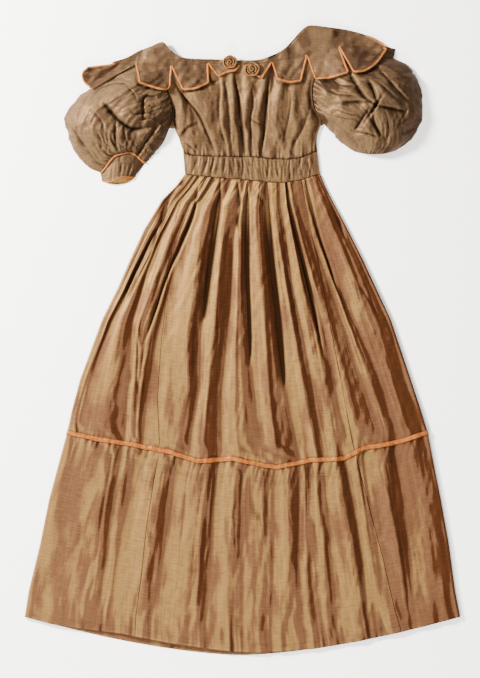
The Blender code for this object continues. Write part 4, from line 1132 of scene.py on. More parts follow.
def slope_shade_of(points: Array, gain: float = 2.2, level: float = 0.16) -> Array:
    """Painted shade from the slope: how far the cloth falls to the right at each place, from 0 to 1, which
    darkens the sides of folds that face away from the light on the left.

    Args:
        points: the grid of points.
        gain: how much a slope counts.
        level: the value where the cloth is level.

    Returns:
        A grid of values.
    """
    rise = np.gradient(points[..., 2], axis=1)
    run = np.gradient(points[..., 0], axis=1)
    run = np.where(np.abs(run) < 0.05, 0.05, run)
    slope = np.clip(rise / run, -3, 3)
    return np.clip(level - gain * blurred(blurred(slope, 1, 1), 1, 0), 0, 1)


def hollow_of(points: Array) -> Array:
    """How far each place lies below those round it, in millimetres, and below 0 on a ridge.

    Args:
        points: the grid of points.

    Returns:
        A grid of values.
    """
    height = points[..., 2]
    around = blurred(blurred(height, 3, 1), 2, 0)
    return blurred(blurred(around - height, 1, 1), 1, 0)


def in_scene(name: str, data: bpy.types.ID) -> bpy.types.Object:
    """An object with its data, linked to the scene."""
    made = bpy.data.objects.new(name, data)
    bpy.context.scene.collection.objects.link(made)
    return made


def lay_weave(mesh: bpy.types.Mesh, weave: Array) -> None:
    """Gives each corner of a mesh's faces the place on the weave, in metres, that its point has."""
    loops = np.zeros(len(mesh.loops), np.int32)
    mesh.loops.foreach_get("vertex_index", loops)
    mesh.uv_layers.new(name="weave").data.foreach_set("uv", weave[loops].reshape(-1).astype(np.float32))


def finished(
    name: str,
    mesh: bpy.types.Mesh,
    values: dict[str, Array],
    thickness: float,
    material: bpy.types.Material,
    lining: bpy.types.Material | None = None,
) -> bpy.types.Object:
    """Gives a surface its values, its finish and its thickness.

    Args:
        name: the piece's name.
        mesh: the outer surface.
        values: what the finish reads at each point.
        thickness: the cloth's thickness, or 0 for a closed form.
        material: the finish.
        lining: the finish of the inner side, if that is another.

    Returns:
        The object, in the scene.
    """
    for key, value in values.items():
        made = mesh.attributes.new(key, "FLOAT", "POINT")
        made.data.foreach_set("value", np.asarray(value, np.float32).reshape(-1))
    mesh.materials.append(material)
    if lining is not None:
        mesh.materials.append(lining)
    mesh.shade_smooth()
    piece = in_scene(name, mesh)
    if thickness > 0:
        wall = piece.modifiers.new("wall", "SOLIDIFY")
        wall.thickness = MM * thickness
        wall.offset = -1
        wall.material_offset = 0 if lining is None else 1
        wall.material_offset_rim = 0
    return piece


def sweep(
    name: str,
    path: Array,
    half_width: float,
    half_height: float,
    material: bpy.types.Material,
    closed: bool = False,
) -> bpy.types.Object:
    """A soft round trim along a path that lies nearly level.

    Args:
        name: the piece's name.
        path: points in millimetres.
        half_width: half its width.
        half_height: half its height.
        material: its finish.
        closed: whether its ends meet.

    Returns:
        The object.
    """
    count = len(path)
    sides = SWEEP_SIDES
    if closed:
        along = np.roll(path, -1, axis=0) - np.roll(path, 1, axis=0)
    else:
        along = np.gradient(path, axis=0)
    along /= np.linalg.norm(along, axis=1)[:, None]
    across = np.cross(along, (0, 0, 1))
    across /= np.maximum(np.linalg.norm(across, axis=1), 1e-6)[:, None]
    up = np.cross(across, along)
    angle = np.linspace(0, 2 * math.pi, sides, endpoint=False)
    lengths = np.concatenate([[0], np.cumsum(np.linalg.norm(np.diff(path, axis=0), axis=1))])
    pull = 1 + 0.10 * Noise(len(name)).smooth(lengths / 5.0, np.full(count, 3.3))
    if not closed:
        pull = pull * np.clip(np.minimum(lengths, lengths[-1] - lengths) / 1.2 + 0.45, 0, 1)
    ring = across[:, None] * np.cos(angle)[None, :, None] * half_width
    ring = ring + up[:, None] * np.sin(angle)[None, :, None] * half_height
    points = path[:, None] + ring * pull[:, None, None]
    verts = points.reshape(-1, 3)
    faces = []
    for step in range(count if closed else count - 1):
        for turn in range(sides):
            here = step * sides + turn
            there = ((step + 1) % count) * sides + turn
            beside = (turn + 1) % sides - turn
            faces.append((here, here + beside, there + beside, there))
    if not closed:
        faces.append(tuple(range(sides))[::-1])
        faces.append(tuple((count - 1) * sides + turn for turn in range(sides)))
    mesh = bpy.data.meshes.new(name)
    mesh.from_pydata((verts * MM).tolist(), [], faces)
    u = np.repeat(lengths, sides)
    v = np.tile(angle * half_width, count)
    lay_weave(mesh, np.stack([u, v], axis=1) * MM)
    mesh.update()
    facing_out(mesh)
    empty = np.zeros(len(verts))
    return finished(name, mesh, {"fall": empty + 0.5, "crease": empty}, 0, material)


def facing_out(mesh: bpy.types.Mesh) -> None:
    """Turns a closed mesh's faces outwards, if they face in."""
    points = np.zeros(len(mesh.vertices) * 3)
    mesh.vertices.foreach_get("co", points)
    points = points.reshape(-1, 3)
    mesh.calc_loop_triangles()
    corners = np.zeros(len(mesh.loop_triangles) * 3, np.int32)
    mesh.loop_triangles.foreach_get("vertices", corners)
    triangles = points[corners.reshape(-1, 3)]
    if np.einsum("ij,ij->i", triangles[:, 0], np.cross(triangles[:, 1], triangles[:, 2])).sum() < 0:
        mesh.flip_normals()


@dataclass
class Ground:
    """The surfaces that other pieces are laid on."""

    trees: list[BVHTree] = field(default_factory=list)

    def add(self, piece: bpy.types.Object) -> None:
        """Adds the outer surface of a piece."""
        mesh = piece.data
        vertices = [vertex.co.copy() for vertex in mesh.vertices]
        self.trees.append(BVHTree.FromPolygons(vertices, [tuple(face.vertices) for face in mesh.polygons]))

    def height(self, x: float, y: float) -> float:
        """The height of the highest surface over a place."""
        best = 0.0
        for tree in self.trees:
            hit = tree.ray_cast(Vector((x * MM, y * MM, 0.3)), Vector((0, 0, -1)))[0]
            if hit is not None:
                best = max(best, hit.z / MM)
        return best

    def highest(self, x: float, y: float, reach: float, rings: int = 2) -> float:
        """The height of the highest surface near a place.

        Args:
            x: where across.
            y: where along.
            reach: how far round the place counts.
            rings: how many rings of probes are used.

        Returns:
            The height in millimetres.
        """
        best = self.height(x, y)
        for ring in range(1, rings + 1):
            for turn in range(6 * ring):
                angle = math.pi * turn / (3 * ring)
                out = reach * ring / rings
                best = max(best, self.height(x + out * math.cos(angle), y + out * math.sin(angle)))
        return best

    def over(self, plan: Array, lift: float, reach: float = 0.0) -> Array:
        """Heights that clear the surfaces.

        Args:
            plan: rows of plan points.
            lift: the clearance.
            reach: how far round each point counts.

        Returns:
            A height for each point.
        """
        flat = plan.reshape(-1, 2)
        probe = [self.highest(x, y, reach) if reach else self.height(x, y) for x, y in flat]
        return np.array(probe).reshape(plan.shape[:-1]) + lift


def declared(
    piece: bpy.types.Object,
    nodes: Sequence[str],
) -> bpy.types.Object:
    """Joins a piece to the frame.

    Args:
        piece: the piece.
        nodes: the nodes that it stands for.

    Returns:
        The piece.
    """
    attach(piece, "root")
    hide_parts(*nodes)
    cloth = sum(face.area for face in piece.data.polygons)
    log.info("%s: %d faces, %.4f square metres", piece.name, len(piece.data.polygons), cloth)
    return piece


class SkirtPlan:
    """The skirt's lines in plan and its folds, which all its pieces share."""

    @staticmethod
    def edges(level: Array) -> tuple[Array, Array]:
        """The skirt's left and right edge at a level."""
        y = SKIRT_TOP - SKIRT_FALL * level
        rows = SKIRT_EDGES[::-1]
        ys = [row.y for row in rows]
        return np.interp(y, ys, [row.left for row in rows]), np.interp(y, ys, [row.right for row in rows])

    @classmethod
    def plan(cls, share: Array, level: Array, turn: Array) -> tuple[Array, Array]:
        """Plan points.

        Args:
            share: shares of the width.
            level: levels.
            turn: the radius of the side turns there.

        Returns:
            Where they lie across and along.
        """
        left, right = cls.edges(level)
        x = left + turn + (right - left - 2 * turn) * share
        dip = looked_up(DIPS, level)
        power = 2 - np.maximum(0, level - 0.6)
        y = SKIRT_TOP - SKIRT_FALL * level - dip * (1 - np.abs(2 * share - 1) ** power)
        return x, y

    @staticmethod
    def met(upper: Array, lower: Array, level: Array) -> Array:
        """The value of the upper tier, which turns into that of the lower tier where they meet."""
        starts, ends = FOLDS_MEET
        return upper + (lower - upper) * eased((level - starts) / (ends - starts))

    @classmethod
    def height(cls, share: Array, level: Array) -> Array:
        """Outer height of the folds of the skirt's front."""
        return cls.met(UPPER_FOLDS.height(share, level), LOWER_FOLDS.height(share, level), level)

    @classmethod
    def place(cls, share: Array, level: Array) -> Array:
        """How many folds lie to the left."""
        return cls.met(UPPER_FOLDS.place(share, level), LOWER_FOLDS.place(share, level), level)

    @classmethod
    def edge_height(cls, level: Array) -> Array:
        """Height of the side turns, which is twice their radius."""
        return cls.height(np.zeros_like(level), level)

    @classmethod
    def waist(cls, share: Array, foot: Sequence[Point]) -> Array:
        """Level at which the skirt meets the foot line of the waistband."""
        level = np.zeros_like(share)
        line = smooth_line(foot, np.linspace(0, 1, 33))
        for _ in range(8):
            x, y = cls.plan(share, level, cls.edge_height(level) / 2)
            level = level + (y + GAP - np.interp(x, line[:, 0], line[:, 1])) / SKIRT_FALL
        return level

    @staticmethod
    def ribbon(share: Array) -> Array:
        """Level of the ribbon's middle, over the seam between the tiers."""
        return looked_up(RIBBON_LINE, share)

    @classmethod
    def line(cls, share: Array, level: Array) -> Array:
        """Plan points of a line across the front."""
        x, y = cls.plan(share, level, cls.edge_height(level) / 2)
        return np.stack([x, y], axis=-1)

    @classmethod
    def tier(cls, tier: Tier, share: Array, down: Array, under: bool) -> Array:
        """Level on one tier.

        Args:
            tier: the tier.
            share: shares of the width.
            down: shares down the tier.
            under: whether it is the back.

        Returns:
            The levels.
        """
        middle = np.full_like(share, BACK_RIBBON_LEVEL) if under else cls.ribbon(share)
        half_gap = GAP / SKIRT_FALL / 2
        if tier is Tier.UPPER:
            starts = cls.waist(share, (BAND_FOOT[0], BAND_FOOT[-1]) if under else BAND_FOOT)
            ends = middle - half_gap
        else:
            starts = middle + half_gap
            ends = np.ones_like(share) if under else 1 - looked_up(HEM_RISES, share)
        return starts + (ends - starts) * down


class Breadth(NamedTuple):
    """A breadth of the skirt: its seams on the front and on the back, and how finely it is made."""

    place: str
    front: tuple[object, object] | None
    under: tuple[object, object] | None
    columns: int
    side: Side | None = None


BREADTHS = (
    Breadth("front", (FRONT_SEAM_LEFT, FRONT_SEAM_RIGHT), None, 280),
    Breadth("side_left", (0.0, FRONT_SEAM_LEFT), (0.0, BACK_SEAM_LEFT), 96, Side.LEFT),
    Breadth("side_right", (FRONT_SEAM_RIGHT, 1.0), (BACK_SEAM_RIGHT, 1.0), 96, Side.RIGHT),
    Breadth("back", None, (BACK_SEAM_LEFT, BACK_SEAM_RIGHT), 20),
)


@dataclass
class Skirt:
    """The two tiers of the skirt in four breadths each, with the ribbon over their seam."""

    wardrobe: Wardrobe
    rows: dict[Tier, int] = field(default_factory=lambda: {Tier.UPPER: 134, Tier.LOWER: 88})
    under_columns: int = 12
    turn_steps: int = 10
    pleats_settle: float = 160.0
    least_height: float = 2.4
    stitched: tuple[float, float] = (0.02, 0.98)
    cut_shares: dict[Tier, float] = field(default_factory=lambda: {Tier.UPPER: 0.62, Tier.LOWER: 0.8})
    hem_line: float = 14.0
    gather_rows: tuple[float, float] = (27.0, 33.0)
    ribbon_width: float = 9.0
    ribbon_lift: float = 2.2
    ribbon_columns: int = 520
    ribbon_turning: float = 1.2

    def relief(self, share: Array, level: Array, x: Array, y: Array) -> tuple[Array, Array]:
        """The height of the front, and the painted shade at each place.

        Args:
            share: shares of the width.
            level: levels.
            x: where across.
            y: where along.

        Returns:
            The height and the painted shade, which darkens creases, the hem's line, the gathering rows,
            puckers, thin crumples and low valleys.
        """
        height = SkirtPlan.height(share, level)
        room = np.clip((height - 3.0) / 5.0, 0.15, 1.0)
        creased, depth = creases_over(x, y, SKIRT_CREASES)
        left, right = SkirtPlan.edges(level)
        cut = share * (right - left)
        fall = SKIRT_FALL * level
        place = SkirtPlan.place(share, level)
        wave = Noise(11).smooth(place * 1.7, level * 4.0) * 1.4
        wave = wave + Noise(12).smooth(place * 4.2, level * 6.0) * 0.8
        calm = 1 - 0.65 * hump(share - 0.045, 0.05)
        crumple = Noise(13).facets(place * 1.1, fall / 95) * 1.3 * calm
        crumple = crumple + Noise(14).facets(cut / 12, fall / 34) * (0.55 + 0.4 * np.exp(-fall / 120)) * calm
        seam = SkirtPlan.ribbon(share)
        lower = np.clip((level - seam) * SKIRT_FALL, 0, 400)
        upper = np.clip((seam - level) * SKIRT_FALL, 0, 600)
        pulled = Noise(15).smooth(cut / 4.2, fall / 60)
        gather = np.where(level > seam, pulled * 1.7 * np.exp(-lower / 24), pulled * np.exp(-upper / 7))
        # Painted shade in the puckers below the ribbon.
        pucker_shade = np.clip(-pulled - 0.22, 0, 0.5) * 2.0 * hump(lower, 26) * (level > seam)
        waist = Noise(16).smooth(cut / 3.4, fall / 40) * 1.1 * np.exp(-fall / 22)
        thin = hump(Noise(17).smooth(place * 2.4, level * 2.2), 0.05)
        thin = thin * np.clip(2.2 * Noise(18).smooth(place * 0.9, level * 7.0), 0, 1) * calm
        crumple = crumple - 0.9 * thin
        total = height + creased + (wave + crumple + waist) * room + gather * np.clip(room * 1.4, 0, 1)
        from_hem = (1 - level) * SKIRT_FALL - looked_up(HEM_RISES, share) * SKIRT_FALL
        total = total - 0.7 * hump(from_hem - self.hem_line, 1.3)
        rows = sum(hump(lower - row, 0.9) for row in self.gather_rows)
        total = total - 0.35 * rows
        # The crease value paints shade along the hem's line, the gathering rows, the puckers, thin crumples
        # and where the cloth lies low.
        depth = np.maximum(depth, 0.35 * hump(from_hem - self.hem_line, 0.9))
        depth = np.maximum(depth, np.maximum(0.25 * np.clip(rows, 0, 1), pucker_shade * 0.6))
        valley_shade = np.maximum(np.clip((5.2 - total) / 3.2, 0, 1) * 0.45, np.clip(3.3 - total, 0, 0.9))
        return np.maximum(total, self.least_height), np.maximum(np.maximum(depth, 0.4 * thin), valley_shade)

    @staticmethod
    def right_edge_shade(points: Array) -> Array:
        """Painted shade beside the skirt's right edge, where the cloth turns away from the light, from 0 to
        1.
        """
        level = np.clip((SKIRT_TOP - points[..., 1]) / SKIRT_FALL, 0, 1)
        left, right = SkirtPlan.edges(level)
        share = (points[..., 0] - left) / (right - left)
        return 0.30 * eased((share - 0.80) / 0.06) + 0.25 * eased((share - 0.93) / 0.03)

    @staticmethod
    def share_at(seam: object, level: Array) -> Array:
        """The share of the width at which a seam lies, for each level."""
        if isinstance(seam, tuple):
            return np.interp(level, SEAM_LEVELS, seam)
        return np.full_like(level, float(seam))

    def points(
        self, tier: Tier, seams: tuple[object, object], columns: int, under: bool
    ) -> tuple[Array, Array]:
        """Rows of points between two seams.

        Args:
            tier: the tier.
            seams: the two seams, or a number for the skirt's edge.
            columns: cells across.
            under: whether it is the back.

        Returns:
            The points and their crease values.
        """
        down = np.linspace(0, 1, self.rows[tier] + 1)
        guess = SkirtPlan.tier(tier, np.full_like(down, 0.5), down, under)
        first, last = (self.share_at(seam, guess) for seam in seams)
        share = first[:, None] + (last - first)[:, None] * np.linspace(0, 1, columns + 1)
        level = SkirtPlan.tier(tier, share, np.broadcast_to(down[:, None], share.shape), under)
        x, y = SkirtPlan.plan(share, level, SkirtPlan.edge_height(level) / 2)
        if under:
            return np.stack([x, y, np.zeros_like(x)], axis=-1), np.zeros_like(x)
        height, crease = self.relief(share, level, x, y)
        edge = SkirtPlan.edge_height(level)
        near_edge = eased(np.minimum(share, 1 - share) / 0.012)
        height = edge + (height - edge) * near_edge
        return np.stack([x, y, height], axis=-1), crease * near_edge

    def side_turn(self, tier: Tier, side: Side) -> Array:
        """Points of the rounded fold at one side of a tier, from its front to its back."""
        down = np.linspace(0, 1, self.rows[tier] + 1)
        share = np.full_like(down, 0.0 if side is Side.LEFT else 1.0)
        level = SkirtPlan.tier(tier, share, down, False)
        radius = SkirtPlan.edge_height(level) / 2
        x, y = SkirtPlan.plan(share, level, radius)
        angle = np.linspace(0, math.pi, self.turn_steps + 1)[1:-1]
        turned_x = x[:, None] + side.sign * radius[:, None] * np.sin(angle)
        turned_z = radius[:, None] * (1 + np.cos(angle))
        return np.stack([turned_x, np.broadcast_to(y[:, None], turned_x.shape), turned_z], axis=-1)

    def breadth(self, tier: Tier, breadth: Breadth) -> Cloth:
        """The cloth of one breadth.

        Args:
            tier: the tier.
            breadth: the breadth.

        Returns:
            Its grid of points.
        """
        runs = []
        half = SEAM_GAP / 2
        if breadth.front is not None:
            runs.append(self.points(tier, breadth.front, breadth.columns, False))
        if breadth.side is not None:
            turn = self.side_turn(tier, breadth.side)
            runs.append((turn, np.zeros(turn.shape[:2])))
        if breadth.under is not None:
            columns = self.under_columns if breadth.side else breadth.columns
            points, crease = self.points(tier, breadth.under, columns, True)
            runs.append((points[:, ::-1], crease[:, ::-1]))
        if breadth.side is Side.LEFT:
            turn, crease = runs[1]
            runs = [runs[2], (turn[:, ::-1], crease[:, ::-1]), runs[0]]
        points = np.concatenate([run for run, _ in runs], axis=1)
        crease = np.concatenate([value for _, value in runs], axis=1)
        if breadth.side is not None:
            points[:, -1 if breadth.side is Side.LEFT else 0, 0] += breadth.side.sign * half
        elif breadth.front is not None:
            points[:, 0, 0] += half
            points[:, -1, 0] -= half
        # calm weakens the painted shade near the waist; fall is painted slope shade with painted shade by
        # the right edge, and cloth that lies nearly flat gets a middle tone.
        calm = 0.55 + 0.45 * eased((SKIRT_TOP - points[..., 1]) / self.pleats_settle)
        fall = np.clip(slope_shade_of(points) * calm + self.right_edge_shade(points), 0, 1)
        fall = np.where(points[..., 2] < 2.2, 0.3, fall)
        crease = blurred(blurred(crease, 1, 1), 1, 0) * calm
        return Cloth(f"{tier.value}_{breadth.place}_silk", points, fall=fall, crease=crease)

    def build(self, ground: Ground) -> None:
        """Makes the eight breadths and the ribbon.

        Args:
            ground: takes in the surfaces of the front.
        """
        silk = self.wardrobe.get(SKIRT_SILK)
        for tier in Tier:
            for breadth in BREADTHS:
                cloth = self.breadth(tier, breadth)
                piece = cloth.build(silk)
                width = np.linalg.norm(np.diff(cloth.points, axis=1), axis=2).sum(axis=1).max() * MM
                length = np.linalg.norm(np.diff(cloth.points, axis=0), axis=2).sum(axis=0).max() * MM
                node = f"{tier.value}_{breadth.place}"
                rests = [] if breadth.place == "back" else [f"{tier.value}_back"]
                declared(piece, [node])
                if breadth.front is not None:
                    ground.add(piece)
        self.ribbon(ground)

    def ribbon(self, ground: Ground) -> None:
        """Makes the satin ribbon over the seam, and its run under the back.

        Args:
            ground: the skirt's front.
        """
        share = np.linspace(0, 1, self.ribbon_columns)
        middle = SkirtPlan.ribbon(share)
        radius = SkirtPlan.edge_height(middle) / 2
        wave = Noise(21).smooth(share * 60, share * 0 + 2) * 0.3
        offsets = np.linspace(-0.5, 0.5, 7) * self.ribbon_width
        levels = [middle + (offset + wave) / SKIRT_FALL for offset in offsets]
        plan = np.stack([np.dstack(SkirtPlan.plan(share, level, radius))[0] for level in levels])
        height = ground.over(plan, 0.0)
        height = np.broadcast_to(height.max(axis=0), height.shape)
        height = blurred(np.maximum(height, blurred(height, 3, 1)), 1, 1)
        offset = np.linspace(-1, 1, 7)[:, None]
        pull = Noise(22).smooth(share * 150, share * 0 + 5)[None, :] * 0.15
        height = height + self.ribbon_lift * (1 - 0.35 * offset**2) + pull * (1 - offset**2)
        turns = []
        for side, end in ((Side.LEFT, 0), (Side.RIGHT, -1)):
            angle = np.linspace(0, math.pi / 2, 7)[1:]
            edge = np.dstack([plan, height])[:, end]
            reach = edge[:, 2][:, None] / 2
            turned_x = edge[:, 0][:, None] + side.sign * reach * np.sin(angle)
            turned_z = reach * (1 + np.cos(angle))
            turned_y = np.broadcast_to(edge[:, 1][:, None], turned_x.shape)
            run = np.stack([turned_x, turned_y, turned_z], axis=-1)
            turns.append(run[:, ::-1] if side is Side.LEFT else run)
        points = np.concatenate([turns[0], np.dstack([plan, height]), turns[1]], axis=1)
        satin = self.wardrobe.get(RIBBON_SATIN)
        cloth = Cloth("ribbon_front_satin", points, thickness=0.6)
        # The crease value is random darker patches plus painted shade along both edges of the ribbon.
        cloth.crease = np.abs(Noise(22).smooth(cloth.weave[..., 0] / 3.5, cloth.weave[..., 1] / 9)) * 0.25
        cloth.crease = cloth.crease + 0.5 * np.abs(offset) ** 4
        length = float(np.linalg.norm(np.diff(points[3], axis=0), axis=1).sum() * MM)
        declared(cloth.build(satin), ["ribbon_front"])
        share = np.linspace(0.015, 0.985, 60)
        level = np.full_like(share, BACK_RIBBON_LEVEL)
        x, y = SkirtPlan.plan(share, level, SkirtPlan.edge_height(level) / 2)
        flat = [np.stack([x, y + offset, np.zeros_like(x)], axis=-1) for offset in np.linspace(4.5, -4.5, 4)]
        points = np.stack(flat)[:, ::-1]
        length = float(abs(x[-1] - x[0]) * MM)
        piece = Cloth("ribbon_back_satin", points, thickness=0.6).build(satin)
        declared(piece, ["ribbon_back"])

    def stitch_lines(self) -> list[Array]:
        """Plan points of the rows of gathering below the ribbon, and of the hem."""
        share = np.linspace(*self.stitched, 400)
        seam = SkirtPlan.ribbon(share)
        rows = [SkirtPlan.line(share, seam + row / SKIRT_FALL) for row in self.gather_rows]
        hem = 1 - looked_up(HEM_RISES, share) - self.hem_line / SKIRT_FALL
        return rows + [SkirtPlan.line(share, hem)]


@dataclass
class Bodice:
    """The gathered bodice front, the two halves of its back, and the waistband."""

    wardrobe: Wardrobe
    columns: int = 190
    rows: int = 120
    band_rows: int = 34
    band_columns: int = 230
    seam_stitches: float = 2.6

    def front(self, ground: Ground) -> None:
        """Makes the bodice front.

        Args:
            ground: takes in its surface.
        """
        across, down = grid(self.columns, self.rows)
        left = ARMHOLE_LEFT + SIDE_LEFT[1:]
        right = ARMHOLE_RIGHT + SIDE_RIGHT[1:]
        plan = patch(left, right, NECKLINE, BAND_TOP, across, down)
        plan[-1, :, 1] += GAP
        x, y = plan[..., 0], plan[..., 1]
        height = BODICE_FOLDS.height(across, down)
        creased, depth = creases_over(x, y, BODICE_CREASES)
        to_band = (1 - down) * (y.max() - y.min())
        gather = Noise(31).smooth(x / 3.6, y / 60) * 1.6 * np.exp(-to_band / 16)
        gather = gather + Noise(32).smooth(x / 7.5, y / 90) * 1.1 * np.exp(-to_band / 70)
        crumple = Noise(33).facets(x / 17, y / 30) * 1.1 + Noise(34).facets(x / 6, y / 9) * 0.35
        edge = eased(np.minimum(across, 1 - across) / 0.02)
        height = height + (creased + gather + crumple) * edge
        seam = hump(to_band, 2.2)
        height = np.maximum(height - 0.8 * seam, 2.6)
        # Painted shade in the puckers of the gathers along the waistband seam.
        pinch_shade = np.clip(0.35 + 1.1 * Noise(38).smooth(x / 2.1, y / 40), 0, 1)
        pinch_shade = hump(to_band, 4.5) * pinch_shade
        neck = down * (y.max() - y.min())
        height = height + 0.5 * hump(neck - 2, 1.6) - 0.4 * hump(neck - 6, 1.2)
        points = np.dstack([plan, height])
        cloth = Cloth("bodice_front_silk", points, crease=np.maximum(depth, 0.75 * pinch_shade))
        piece = cloth.build(self.wardrobe.get(BODICE_SILK))
        declared(piece, ["bodice_front"])
        ground.add(piece)

    def band(self) -> None:
        """Makes the ruched front of the waistband."""
        across, down = grid(self.band_columns, self.band_rows)
        ends = (BAND_TOP[0], BAND_FOOT[0]), (BAND_TOP[-1], BAND_FOOT[-1])
        plan = patch(*ends, BAND_TOP, BAND_FOOT, across, down)
        rise = np.minimum(1, np.minimum(across, 1 - across) / BAND_END_SHARE)
        x, y = plan[..., 0], plan[..., 1]
        lean = x + 7 * np.sin(across * 9) * down
        ripple = Noise(35).smooth(lean / 3.0, y / 24) * 0.6 + Noise(36).smooth(lean / 9.5, y / 60) * 0.6
        ripple = ripple + Noise(37).facets(lean / 7, y / 14) * 0.5
        belly = np.sin(np.pi * down) ** 0.5
        middle = BAND_HEIGHT + 0.6 - BAND_EDGE_HEIGHT
        height = BAND_EDGE_HEIGHT + middle * eased(rise) * (0.62 + 0.38 * belly)
        height = height + 1.2 * ripple * (0.35 + 0.65 * belly) * np.clip(rise * 1.5, 0.2, 1)
        seam = hump(down, 0.035) + hump(1 - down, 0.05)
        height = np.maximum(height - 0.6 * seam, 2.2)
        ripples, depth = creases_over(x, y, BAND_CREASES)
        height = np.maximum(height + 0.45 * ripples, 2.2)
        # The creases' painted shade is halved; dark adds painted shade in the puckers under the top seam and
        # along the band's foot.
        depth = 0.5 * depth
        pinch_shade = np.clip(0.3 + 1.2 * Noise(38).smooth(x / 2.1, y / 40), 0, 1)
        dark = 0.7 * pinch_shade * hump(down, 0.07) + 0.35 * hump(1 - down, 0.03)
        cloth = Cloth("waistband_front_silk", np.dstack([plan, height]), crease=np.maximum(depth, dark))
        piece = cloth.build(self.wardrobe.get(BODICE_SILK))
        declared(piece, ["waistband_front"])

    def backs(self) -> None:
        """Makes the halves of the bodice back and of the waistband's back."""
        silk = self.wardrobe.get(BODICE_SILK)
        seams = (ARMHOLE_LEFT, SIDE_LEFT), (ARMHOLE_RIGHT, SIDE_RIGHT)
        for side, (armhole, seam) in zip(Side, seams):
            sign = side.sign
            outer = [(x - sign * BACK_INSET, y) for x, y in armhole + seam[1:]]
            neck = [(x, y - BACK_NECK_DROP) for x, y in NECKLINE[1:-1] if sign * x > BACK_PLACKET_HALF]
            neck = sorted(neck, key=lambda point: sign * point[0])
            centre_top = (sign * GAP / 2, neck[0][1])
            top = [centre_top] + neck + [outer[0]]
            foot = [(sign * GAP / 2, outer[-1][1]), outer[-1]]
            points = self.half(side, [centre_top, foot[0]], outer, top, foot, 48, 60)
            points[-1, :, 1] += GAP
            lift = eased((points[..., 1] - LIFT_STARTS) / (LIFT_ENDS - LIFT_STARTS))
            points[..., 2] = COLLAR_LIFT * lift
            cloth = Cloth(f"bodice_back_{side.value}_silk", points)
            declared(cloth.build(silk), [f"bodice_back_{side.value}"])
            end = (BAND_TOP[0], BAND_FOOT[0]) if side is Side.LEFT else (BAND_TOP[-1], BAND_FOOT[-1])
            outer = [(x - sign * BACK_INSET, y) for x, y in end]
            top = [(sign * GAP / 2, outer[0][1]), outer[0]]
            foot = [(sign * GAP / 2, outer[1][1]), outer[1]]
            points = self.half(side, [top[0], foot[0]], outer, top, foot, 40, 14)
            cloth = Cloth(f"waistband_back_{side.value}_silk", points)
            declared(cloth.build(silk), [f"waistband_back_{side.value}"])

    def stitch_line(self) -> Array:
        """Plan points of the stitches over the waistband's top seam."""
        line = smooth_line(BAND_TOP, np.linspace(0.01, 0.99, 200))
        line[:, 1] += self.seam_stitches
        return line

    @staticmethod
    def half(
        side: Side,
        centre: Sequence[Point],
        outer: Sequence[Point],
        top: Sequence[Point],
        foot: Sequence[Point],
        columns: int,
        rows: int,
    ) -> Array:
        """Points of a flat half of the back, which face the ground.

        Args:
            side: which half.
            centre: its edge at the opening.
            outer: its outer edge.
            top: its top edge, from the opening out.
            foot: its bottom edge, from the opening out.
            columns: cells across.
            rows: cells down.

        Returns:
            The points.
        """
        across, down = grid(columns, rows)
        if side is Side.RIGHT:
            plan = patch(centre, outer, top, foot, across, down)
        else:
            plan = patch(outer, centre, top[::-1], foot[::-1], across, down)
        return np.dstack([plan, np.zeros_like(across)])[:, ::-1].copy()

    def build(self, ground: Ground) -> None:
        """Makes every piece of the bodice.

        Args:
            ground: takes in the surface of the front.
        """
        self.backs()
        self.front(ground)
        self.band()


